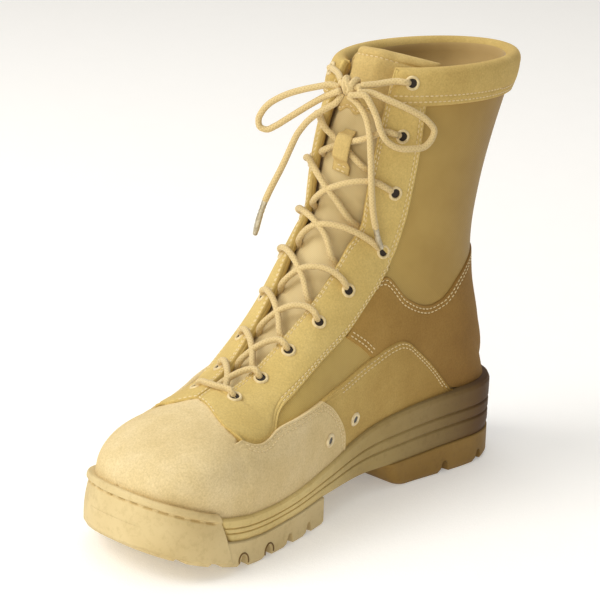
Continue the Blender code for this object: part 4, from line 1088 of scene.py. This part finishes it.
def buildMidsole():
    share = inBands((0, 0.3, 0.65, 1), (10, 40, 20))
    rings = {1: [], -1: []}
    inner = -(soleSize["bumperWall"] + soleSize["gap"])
    turn = soleSize["turn"]
    for level in share:
        step = float(midsoleStep(level))
        low, high = soleSize["shoulder"]
        shoulder = low + (high - low) * level - soleSize["gap"]
        straight = np.linspace(44, shoulder - turn - 0.1, 101)[1:]
        back = np.concatenate([eased(-step, 44, 50, "start"), straight])
        into = eased(0, turn, 8, "end")
        tuck = np.concatenate([np.zeros(len(back)), turn - np.sqrt(np.maximum(turn**2 - into**2, 0))])
        back = np.concatenate([back, shoulder - turn + into])
        front = eased(shoulder, boot["length"] + inner, 40, "end")
        u = np.concatenate([back, front])
        on = np.clip(u, 0, boot["length"])
        foot, top = heightOf(splitLine, on) + 0.15, heightOf(featherLine, on) - 0.3
        z = foot + (top - foot) * level
        for side in (1, -1):
            rear = soleEdge(back, side, step - tuck, boot["length"] + step, -step)
            ahead = soleEdge(front, side, inner, boot["length"] + inner, 0.0)
            rings[side].append(np.stack([np.concatenate([rear, ahead]), u, z], -1))
    made = ringBody("midsoleBody", np.array(rings[1]), np.array(rings[-1]), midRubber)
    return finishPiece(made, "midsole_rubber", "midsole")


# weld a body's seam and fill its open ends
def closeHoles(made):
    work = bmesh.new()
    work.from_mesh(made.data)
    bmesh.ops.remove_doubles(work, verts=work.verts[:], dist=2e-6)
    bmesh.ops.holes_fill(work, edges=[e for e in work.edges if e.is_boundary])
    bmesh.ops.recalc_face_normals(work, faces=work.faces[:])
    work.to_mesh(made.data)
    work.free()
    return made


# depth of the slots between the lugs at u and distance from the centre line;
# wider, softer and deeper at the wall
def slotDepth(u, fromCentre, slots):
    out = np.abs(fromCentre)
    edge = ramp(out / smooth(soleOutline, np.clip(u, 0, boot["length"]))[..., 1], 0.72, 0.97)
    half, soft = soleSize["grooveWidth"] / 2 + 0.9 * edge, soleSize["grooveSoft"] + 1.3 * edge
    depth = np.zeros(out.shape)
    for place, slant, inner, deep in slots:
        middle = place + slant * (out - inner)
        across = 1 - ramp(np.abs(u - middle), half - soft, half + soft)
        depth = np.maximum(depth, (deep + 2.2 * edge) * across * ramp(out, inner - 1.0, inner + 1.0))
    return depth


# outsole: sections along the sole, each a loop of slotted underside, stepped walls and flat top
def outsoleBody(name, ends, stepAt, slots, look, ease, limit):
    shares = inBands((0, 0.16, 1), (6, 14))
    count, dense = 300, 75
    stations = np.linspace(0, 1, count) / 0.75 * 0.9
    stations[-dense:] = 0.9 + 0.1 * np.sin(np.linspace(0, np.pi / 2, dense))
    stations = stations if ease == "end" else (1 - stations)[::-1]
    across = np.linspace(1, -1, 90)
    blocks = []
    for side, order in ((1, slice(None, None, -1)), (-1, slice(None))):
        wallPoints = []
        for share in shares:
            start, end = ends(share)
            u = start + (end - start) * stations
            on = np.clip(u, 0, limit)
            toe, heel = (end, 0.0) if ease == "end" else (boot["length"], start)
            x = soleEdge(u, side, stepAt(u, share), toe, heel)
            centre = smooth(soleOutline, on)[:, 0]
            low = treadAt(on) + slotDepth(u, x - centre, slots)
            high = heightOf(splitLine, on) - soleSize["gap"] / 2
            plain = treadAt(on) + (high - treadAt(on)) * share
            wallPoints.append(np.stack([x, u, np.maximum(plain, np.minimum(low, high - 0.4))], -1))
        blocks.append(np.stack(wallPoints, 1)[:, order])
    medial, lateral = blocks
    left, right = lateral[:, :1, 0], medial[:, -1:, 0]
    floorX = left + (right - left) * (across[None, 1:-1] + 1) / 2
    floorU = medial[:, -1:, 1] * np.ones_like(floorX)
    on = np.clip(floorU, 0, limit)
    centre = smooth(soleOutline, on)[..., 0]
    floorZ = treadAt(on) + slotDepth(floorU, floorX - centre, slots)
    bottom = np.stack([floorX, floorU, floorZ], -1)
    loops = np.concatenate([medial, bottom, lateral], 1)
    faces = gridFaces(*loops.shape[:2], closeM=True)
    return closeHoles(meshObject(name, toWorld(loops.reshape(-1, 3)), faces, look))


def buildForefoot():
    def tuck(share):
        return -1.2 * (1 - ramp(share, 0, 0.14))

    made = outsoleBody(
        "outsoleForefoot", lambda share: (soleSize["forefootBack"], toeEnd + tuck(share)),
        lambda u, share: (flare(u) + tuck(share)) * (1 - 0.25 * share), forefootGrooves, treadRubber,
        "end", boot["length"] + 5)
    return finishPiece(made, "tread_rubber", "outsole_forefoot")


def buildHeel():
    def step(share):
        return -0.6 + 1.3 * ramp(share, 0, 0.16) - 0.2 * share

    low, high = soleSize["breast"]

    def front(share):
        return low + (high - low) * share - 2.6 * np.maximum(0, 1 - share / 0.4) ** 2

    def edge(u, share):
        into = np.clip(u - (front(share) - soleSize["corner"]), 0, soleSize["corner"])
        return step(share) - soleSize["corner"] + np.sqrt(soleSize["corner"] ** 2 - into**2)

    made = outsoleBody("outsoleHeel", lambda share: (-step(share), front(share)), edge, heelGrooves,
                       heelRubber, "start", boot["length"])
    return finishPiece(made, "heel_rubber", "outsole_heel")


# toe bumper: a profile of foot, face, groove with pressed dashes and rounded lip carried round the toe
bumper = {"lip": 1.3, "groove": 1.3, "grooveAt": 0.815, "above": 2.4, "dash": 9.0, "foot": 2.3,
          "swell": 0.8}


def buildBumper():
    share = inBands((0, 0.72, 0.89, 1), (18, 22, 14))
    crest = np.sqrt(np.maximum(1 - np.clip((share - 0.9) / 0.1, 0, 1) ** 2, 0))
    lip = bumper["lip"] * ramp(share, 0.82, 0.88) * crest
    face = bumper["swell"] * np.sin(np.pi * np.clip(share / 0.81, 0, 1))
    low, high = soleSize["shoulder"]
    levels = [(s, 1.13 - 0.97 * s, extra) for s, extra in zip(share, lip + face)]
    levels += [(1.0, 0.0, -soleSize["bumperWall"] * f) for f in (0.25, 0.6, 1.0)]
    levels += [(0.0, 0.0, -soleSize["bumperWall"])]
    pressed = np.zeros(len(levels))
    pressed[: len(share)] = bumper["groove"] * np.exp(-(((share - bumper["grooveAt"]) / 0.022) ** 2))
    grid = []
    for side in (1, -1):
        loops = []
        for s, spread, extra in levels:
            start = low - 0.5 + (high - low + 0.5) * s
            end = boot["length"] + spread * (toeEnd - boot["length"]) + extra
            u = eased(start, end, 180, "end")
            on = np.minimum(u, boot["length"])
            foot = treadAt(on) + bumper["foot"]
            top = heightOf(featherLine, on) + bumper["above"] * (s > 0)
            x = soleEdge(u, side, spread * flare(u) + extra, end, 0.0)
            loops.append(np.stack([x, u, foot + (top - foot) * s], -1))
        block = np.stack(loops, 1)
        along = unit(np.gradient(block[..., :2], axis=0))
        inward = np.stack([-side * along[..., 1], side * along[..., 0]], -1)
        gone = lengthsAlong(block, 0)
        dashes = 0.3 + 0.7 * ramp(np.cos(2 * np.pi * (gone[-1:] - gone) / bumper["dash"]), -0.5, -0.1)
        dashes = dashes * ramp(gone, 2.0, 6.0)
        block[..., :2] += inward * (pressed * dashes)[..., None]
        grid.append(block if side > 0 else block[::-1])
    path = np.concatenate(grid)
    faces = gridFaces(*path.shape[:2], closeM=True)
    made = meshObject("toeBumper", toWorld(path.reshape(-1, 3)), faces, treadRubber)
    return finishPiece(closeHoles(made), "tread_rubber")


# dark lines of rubber round two of the side slots: painted shade of the pressed horseshoe grooves there
lugMark = {"places": (254.4, 231.6), "half": 3.9, "foot": 3.4, "tall": 4.6, "radius": 0.45}


def buildMarks():
    turn = np.linspace(-0.25, np.pi + 0.25, 24)
    tubes = []
    for side in (1, -1):
        for place in lugMark["places"]:
            u = place + lugMark["half"] * np.cos(turn)
            z = treadAt(u) + lugMark["foot"] + lugMark["tall"] * np.sin(turn)
            x = soleEdge(u, side, flare(u) * 0.9 + 0.1, toeEnd, 0.0)
            tubes.append(tubeParts(np.stack([x, u, z], -1), lugMark["radius"], (1.0, 0.0, 0.0), 8))
    return finishPiece(tubePiece("lugMarks", tubes, grooveShadeRubber), "tread_rubber")


midsoleBody = buildMidsole()
outsoleForefoot = buildForefoot()
outsoleHeel = buildHeel()
toeBumper = buildBumper()
lugMarks = buildMarks()
nodes["insole"].data.materials.clear()
nodes["insole"].data.materials.append(lining)
print("stage: sole")

# lace and its metal parts
laceSize = {"radius": 1.9, "fromEdge": 7.5, "eyelet": 4.3, "core": 2.7}
knotSpot = (14.62, 7.0, 9.5)
# places round the knot where a strand leaves it: across, down along the throat, out
knotPorts = {
    "topMedial": (6.9, -1.8, 0), "topLateral": (-6.9, -1.8, -0.5), "loopMedial": (6.6, 2.4, 1.5),
    "loopMedialBack": (2.8, 5.4, 2.6), "endMedial": (0.4, 5.8, -1), "loopLateral": (-6.6, 2.2, 1.2),
    "loopLateralBack": (-4.2, 4.6, 3.4), "endLateral": (-3.9, 5.6, -0.6),
}
# routes over the throat: row, out, lift
topMedial = ((15.2, 24.3, 5.2), (15.1, 21, 5.4), (14.95, 17.5, 6.6))
topLateral = ((15.2, -11.4, 5.1), (15.15, -8, 5.8), (15.02, -3.5, 7.0))
loopMedial = ((14.55, 16, 8.6), (14.46, 21, 8.2), (14.35, 26, 8), (14.2, 31, 7.8), (14, 34.5, 7.6),
              (13.75, 36.2, 7.6), (13.5, 36.3, 7.8), (13.25, 34.5, 8), (13.02, 31.5, 8.4), (12.88, 28, 8.8),
              (12.98, 24.5, 9.2), (13.3, 22, 9.8), (13.7, 20, 10.4), (14.1, 17.2, 11), (14.36, 14.6, 11.6))
endMedial = ((14.08, 11, 7.9), (13.88, 13.6, 7.4), (13.65, 15.8, 7.2), (13.3, 17.8, 7.6), (12.95, 19, 8.2),
             (12.6, 19.8, 8.4), (12.2, 20.5, 8.4), (11.8, 21.1, 8.4), (11.4, 21.6, 8.4), (11, 22.2, 8.4),
             (10.6, 22.7, 8.4), (10.2, 23.2, 8.2), (9.85, 23.8, 8), (9.5, 24.4, 7.8))
tipMedial = ((9.475, 24.45, 7.77), (8.9, 25.4, 7.2), (8.3, 26.6, 6.8))
# routes that hang from the knot: reach, drop
loopLateral = ((11.4, 0.2), (16, 1.2), (21, 2.5), (28, 4.6), (35.5, 7.4), (42, 10.8), (47.2, 14.6),
               (51, 19.4), (52.8, 24), (51.8, 28.2), (48, 29.4), (43, 27), (37, 22.8), (29, 17),
               (21, 11.4), (14, 7))
endLateral = ((8, 10.2), (12.4, 13), (16.4, 15.6), (20.2, 18.4), (23.6, 21.6), (26.4, 25.2), (29, 29.2),
              (31.4, 34.6), (33.6, 40.2), (35.8, 45.8), (38.2, 51.4), (40.8, 57), (43.4, 62.8),
              (45.8, 68.8))
tipLateral = ((46, 69.4), (48.8, 79), (51, 89.2))
# level directions in which they hang
loopWay, endWay = (-0.857, 0.514), (-0.74, 0.67)


def overAll(route):
    return np.array([overThroat(*spot)[0] for spot in route])


def knotFrame():
    centre = overThroat(*knotSpot)[0]
    normal = overThroat(knotSpot[0], knotSpot[1], knotSpot[2] + 1)[0] - centre
    across = unit(overThroat(knotSpot[0], knotSpot[1] + 2, knotSpot[2])[0] - centre)
    return centre, np.array([across, np.cross(normal, across), normal])


knotCentre, knotAxes = knotFrame()


def port(name):
    return (knotCentre + np.array(knotPorts[name]) @ knotAxes)[None, :]


def hung(way, route):
    reach, drop = np.array(route).T
    return knotCentre + np.stack([way[0] * reach, way[1] * reach, -drop], -1)


# smooth path through a route, a sample every step millimetres
def smoothPath(route, step=1.0):
    route = np.asarray(route, float)
    gone = lengthsAlong(route)
    count = max(int(gone[-1] / step), 8)
    return smooth(np.column_stack([gone, route]), np.linspace(0, gone[-1], count))


# distance of the throat's edge from the ridge, and of an eyelet's middle
def throatEdge(row, side):
    return smooth(throatTable, row)[0 if side > 0 else 1]


def eyeletOut(row, side):
    return throatEdge(row, side) + laceSize["fromEdge"]


# first points of a lace out of an eyelet's hole: row, out, lift
def fromHole(row, side, lifts):
    centre = eyeletOut(row, side)
    return [(row, side * (centre - back), lift) for back, lift in zip((0.9, 1.5, 3.0), lifts)]


def throatFacing(row):
    return overThroat(row, 0, 1)[0] - overThroat(row, 0, 0)[0]


# length of lace from an eyelet's hole, across the throat and down under its other edge
def crossing(row, below, side, lifts, bend):
    last = below + 0.15 * (row - below)
    start = eyeletOut(row, side) - laceSize["eyelet"] - 0.9
    end = 3.0 - throatEdge(last, -side)
    shares = np.array([0, 0.25, 0.5, 0.75, 1])
    rows = row + (last - row) * shares**bend
    route = fromHole(row, side, (0.2, 2.8, 4.8))
    route += [(r, side * (start + (end - start) * t), lift) for r, t, lift in zip(rows, shares, lifts)]
    route += [(last - 0.03, side * (end - 2.6), -3.0), (last - 0.06, side * (end - 8.0), -4.3)]
    return overAll(route)


def buildCrossings():
    for number in range(2, 9):
        row, below = eyeletRows[number - 1], eyeletRows[number]
        lifts, bend = (4.9, 4.4, 3.3, 1.6, -0.6), 1.3
        if number == 2:
            lifts, bend = (4.9, 3.2, -1.4, -1.5, -0.8), 0.75
        strands = [crossing(row, below, side, lifts, bend) for side in (1, -1)]
        tubes = [tubeParts(smoothPath(strand), laceSize["radius"], throatFacing(row)) for strand in strands]
        finishPiece(tubePiece(f"laceCross{number}", tubes, cordLook), "cord", f"lace_cross_{number}")
    row = eyeletRows[-1]
    medial, lateral = (
        [*fromHole(row, side, (0.8, 3.4, 5.2)), (row, side * (eyeletOut(row, side) - 5.4), 5.0)]
        for side in (1, -1))
    bar = [*medial, (row - 0.05, 4, 4.7), (row - 0.05, -2, 4.7), *lateral[::-1]]
    tubes = [tubeParts(smoothPath(overAll(bar)), laceSize["radius"], throatFacing(row))]
    finishPiece(tubePiece("laceBar", tubes, cordLook), "cord", "lace_bar")


# wraps of the knot: offset, tilt, half height, half depth
knotWraps = ((-2.3, 0.35, 3.9, 2.9), (1.9, -0.30, 4.1, 3.0), (-0.1, 0.9, 3.2, 3.3))


# the knot: closed rings of cord round the across axis, tilted, over a short core
def buildKnot():
    turn = np.linspace(0, 2 * np.pi, 49)
    tubes = []
    for offset, tilt, tall, deep in knotWraps:
        local = np.stack([offset + tilt * 3.2 * np.cos(turn), tall * np.cos(turn), deep * np.sin(turn)], -1)
        path = knotCentre + local @ knotAxes
        tubes.append(tubeParts(path, laceSize["radius"], knotAxes[0], roundEnds=False))
    core = np.stack([np.linspace(-6.2, 6.2, 20), np.zeros(20), np.zeros(20)], -1)
    tubes.append(tubeParts(knotCentre + core @ knotAxes, laceSize["core"], knotAxes[2]))
    return finishPiece(tubePiece("laceKnot", tubes, cordLook), "cord", "lace_knot")


def freeCord(name, route, facing, node):
    path = smoothPath(route)
    made = tubePiece(name, [tubeParts(path, laceSize["radius"], facing)], cordLook)
    finishPiece(made, "cord", node)
    return made


# metal tip: a crimped tube, waisted three times and narrower at its end
def buildTip(name, route, facing, node):
    path = smoothPath(route, 0.5)
    along = np.linspace(0, 1, len(path))
    crimp = sum(np.exp(-(((along - c) / 0.03) ** 2)) for c in (0.12, 0.24, 0.36))
    radius = 1.75 - 0.22 * crimp - 0.35 * ramp(along, 0.8, 1.0)
    made = tubePiece(name, [tubeParts(path, radius, facing, 14)], tipMetal)
    return finishPiece(made, "aglet_metal", node)


def buildBow():
    out = knotAxes[2]
    hangSide = np.cross((*loopWay, 0.0), (0, 0, 1.0))
    endSide = np.cross((*endWay, 0.0), (0, 0, 1.0))
    row = eyeletRows[0]
    for name, route, node, side in (("topMedial", topMedial, "lace_top_medial", 1),
                                    ("topLateral", topLateral, "lace_top_lateral", -1)):
        start = fromHole(row, side, (1.4, 3.9, 5.7))
        joined = np.concatenate([overAll([*start, *route]), port(name)])
        tubes = [tubeParts(smoothPath(joined), laceSize["radius"], out)]
        finishPiece(tubePiece(f"lace{name[0].upper()}{name[1:]}", tubes, cordLook), "cord", node)
    tips = [buildTip("agletMedial", overAll(tipMedial), out, "aglet_medial"),
            buildTip("agletLateral", hung(endWay, tipLateral), endSide, "aglet_lateral")]
    loop = np.concatenate([port("loopMedial"), overAll(loopMedial), port("loopMedialBack")])
    freeCord("laceLoopMedial", loop, out, "lace_loop_medial")
    loop = np.concatenate([port("loopLateral"), hung(loopWay, loopLateral), port("loopLateralBack")])
    freeCord("laceLoopLateral", loop, hangSide, "lace_loop_lateral")
    end = np.concatenate([port("endMedial"), overAll(endMedial)])
    freeCord("laceEndMedial", end, out, "lace_end_medial")
    end = np.concatenate([port("endLateral"), hung(endWay, endLateral)])
    freeCord("laceEndLateral", end, endSide, "lace_end_lateral")


# ring on the upper: a rounded profile turned about the surface's normal, with a plate in its hole
def ringOn(row, share, side, low, profile):
    row, share = np.array([float(row)]), np.array([float(share)])
    centre = overUpper(row, share, side, np.array([0.0]))[0]
    normal = upperNormal(row, share, side)[0]
    across = unit(np.cross(normal, (0.0, 0.3, 1.0)))
    other = np.cross(normal, across)
    turn = np.linspace(0, 2 * np.pi, 33)[:-1]
    radius, lift = np.array(profile).T
    way = np.cos(turn)[:, None] * across + np.sin(turn)[:, None] * other
    return centre + radius[None, :, None] * way[:, None] + (low + lift)[None, :, None] * normal


# profiles: radius, lift
eyeletProfile = ((2.6, -0.8), (2.62, 0.2), (2.8, 0.7), (3.15, 0.95), (3.55, 0.9), (3.95, 0.65),
                 (4.2, 0.3), (4.3, 0.0), (4.3, -0.8))
ventProfile = ((2.0, -0.8), (2.1, 0.15), (2.45, 0.6), (3.0, 0.8), (3.6, 0.6), (4.1, 0.2), (4.3, 0.0),
               (4.3, -0.8))
# plate across the hole: dark in the eyelets as painted shade inside the hole, grey in the vents as their
# mesh
plateProfile = ((0.0, 0.06), (1.2, 0.06), (2.7, 0.04))
# vents: row, share, lift
vents = ((5.26, 0.22, panelLift["foxing"] + 0.35), (4.41, 0.27, panelLift["wing"] + 0.45))


def ringPiece(name, row, share, side, low, profile, look, plate, slot, node):
    ring = ringOn(row, share, side, low, profile)
    disc = ringOn(row, share, side, low, plateProfile)
    count, loop = ring.shape[:2]
    start = count * loop
    points = np.concatenate([ring.reshape(-1, 3), disc.reshape(-1, 3)])
    faces = np.concatenate([gridFaces(count, loop, closeN=True, closeM=True),
                            gridFaces(*disc.shape[:2], closeN=True, start=start)])
    made = meshObject(name, toWorld(points), faces, [look, plate])
    index = np.zeros(len(faces), np.int32)
    index[start:] = 1
    made.data.polygons.foreach_set("material_index", index)
    weld(made, 1e-6)
    return finishPiece(made, slot, node)


def buildEyelets():
    for side, name in ((1, "medial"), (-1, "lateral")):
        for number, row in enumerate(eyeletRows, 1):
            share = shareAtOut(np.array([row]), eyeletOut(row, side), side)[0]
            low = panelLift["eyestay"] + 1.3 * float(ramp(np.array(-row), -3.4, -2.5))
            low = 3.65 if number == 1 else low
            ringPiece(f"eyelet{name.title()}{number}", row, share, side, low, eyeletProfile, enamel,
                      holeShade, "eyelet_enamel", f"eyelet_{name}_{number}")
    for number, (row, share, lift) in enumerate(vents, 1):
        ringPiece(f"ventRing{number}", row, share, 1, lift, ventProfile, ventMetal, meshGrey, "vent_metal",
                  f"vent_{number}")


# keeper: a ribbon carried along its rows over the tongue, thin edges rounded, broader at its sewn foot
keeper = {"out": 8.5, "half": 4.0, "foot": 1.6, "thick": 1.0}
keeperRoute = ((12.95, -4.4), (12.78, -2.4), (12.6, 1.6), (12.1, 2.6), (11.55, 1.6), (11.35, -2.6),
               (10.9, -3.7))


def buildKeeper():
    rows, lifts = smooth(np.column_stack([np.arange(7), keeperRoute]), np.linspace(0, 6, 60)).T
    across = np.linspace(-1, 1, 15)
    thin = np.sqrt(1 - np.abs(across) ** 6) * 0.5
    half = (keeper["half"] + keeper["foot"] * (1 - ramp(rows, 11.25, 11.5)))[:, None] * across
    grids = []
    for sign in (1, -1):
        lift = lifts[:, None] + keeper["thick"] * (0.5 + sign * thin[None, :])
        grids.append(overThroat(rows[:, None], keeper["out"] + half, lift))
    for row, reach in ((10.99, 4.4), (11.22, 4.0)):
        out = keeper["out"] + np.linspace(-reach, reach, 12)
        lift = np.interp(-row, -rows, lifts) + keeper["thick"]
        line = overThroat(np.full(12, row), out, lift)
        stitchRuns.append((line, overThroat(np.full(12, row), out, lift + 1) - line))
    made = closedBody("laceKeeper", toWorld(grids[0]), toWorld(grids[1]), suedeTongue)
    return finishPiece(made, "suede", "lace_keeper")


buildCrossings()
laceKnot = buildKnot()
buildBow()
buildEyelets()
laceKeeper = buildKeeper()
print("stage: lace")

# stitches: small spindles set along every stitched run
stitch = {"length": 2.3, "pitch": 3.1, "radius": 0.42, "sides": 6, "lift": 0.12}


def buildStitches():
    t = np.array([-1.0, -0.7, 0.0, 0.7, 1.0])
    plump = np.array([0.0, 0.8, 1.0, 0.8, 0.0])
    turn = np.linspace(0, 2 * np.pi, stitch["sides"] + 1)[:-1]
    points, faces, start = [], [], 0
    for line, normals in stitchRuns:
        gone = lengthsAlong(line)
        places = np.arange(stitch["pitch"], gone[-1] - stitch["pitch"] / 2, stitch["pitch"])
        if len(places) < 2:
            continue
        centre, ahead, behind, normal = (
            np.stack([np.interp(places + shift, gone, field[:, k]) for k in range(3)], -1)
            for shift, field in ((0.0, line), (0.3, line), (-0.3, line), (0.0, normals)))
        normal = unit(normal)
        centre = centre + stitch["lift"] * normal
        along = unit(ahead - behind)
        cross = np.cross(normal, along)
        reach = (t * stitch["length"] / 2)[None, :, None, None]
        body = centre[:, None, None] + reach * along[:, None, None]
        ring = np.cos(turn)[None, :, None] * cross[:, None] + np.sin(turn)[None, :, None] * normal[:, None]
        body = body + stitch["radius"] * plump[None, :, None, None] * ring[:, None]
        one = gridFaces(len(t), stitch["sides"], closeM=True)
        count = len(t) * stitch["sides"]
        faces.append((one[None] + start + count * np.arange(len(places))[:, None, None]).reshape(-1, 4))
        points.append(body.reshape(-1, 3))
        start += count * len(places)
    made = meshObject("stitching", toWorld(np.concatenate(points)), np.concatenate(faces), thread)
    weld(made, 1e-7)
    return finishPiece(made, "cord")


stitching = buildStitches()
print("stage: stitches")

# floor, light and camera
view = {"eye": (0.815, -0.862, 0.479), "aim": (-0.005, -0.006, 0.118), "lens": 129.0, "roll": 2.42}
# lights: place, size, power, colour
lights = {
    "keyLight": ((-0.75, -1.35, 1.55), 1.3, 27.5, (1.0, 1.0, 1.0)),
    "fillLight": ((0.8, -2.2, 0.7), 1.6, 18.0, (1.0, 0.94, 0.76)),
    "topLight": ((-0.5, 0.5, 2.4), 2.0, 18.0, (1.0, 1.0, 1.0)),
}


def buildStage():
    corners = np.array([(-6, -6, 0), (6, -6, 0), (6, 6, 0), (-6, 6, 0)], float)
    made = meshObject("floor", corners, [(0, 1, 2, 3)], paleFloor)
    world = bpy.data.worlds.new("studio")
    world.use_nodes = True
    background = world.node_tree.nodes["Background"].inputs
    background["Color"].default_value = (1.0, 0.99, 0.97, 1.0)
    background["Strength"].default_value = 0.42
    bpy.context.scene.world = world
    for name, (place, size, power, colour) in lights.items():
        lamp = bpy.data.lights.new(name, "AREA")
        lamp.energy = power
        lamp.size = size
        lamp.color = colour
        made = bpy.data.objects.new(name, lamp)
        bpy.context.scene.collection.objects.link(made)
        made.location = place
        made.rotation_euler = (Vector((0, 0, 0.1)) - Vector(place)).to_track_quat("-Z", "Y").to_euler()


def buildCamera():
    lens = bpy.data.cameras.new("camera")
    lens.lens = view["lens"]
    lens.sensor_width = 36.0
    made = bpy.data.objects.new("camera", lens)
    bpy.context.scene.collection.objects.link(made)
    ahead = Vector(view["aim"]) - Vector(view["eye"])
    turned = ahead.to_track_quat("-Z", "Y").to_matrix()
    rolledMatrix = turned @ Matrix.Rotation(math.radians(view["roll"]), 3, "Z")
    made.matrix_world = Matrix.Translation(view["eye"]) @ rolledMatrix.to_4x4()
    bpy.context.scene.camera = made


paleFloor = suedeMaterial("paleFloor", (250, 249, 247), (248, 247, 245), (246, 245, 243))
floorLook = paleFloor.node_tree.nodes["Principled BSDF"].inputs
floorLook["Emission Color"].default_value = (0.95, 0.98, 1.0, 1.0)
floorLook["Emission Strength"].default_value = 0.26
buildStage()
buildCamera()
bpy.context.scene.view_settings.view_transform = "Standard"
print("stage: set")
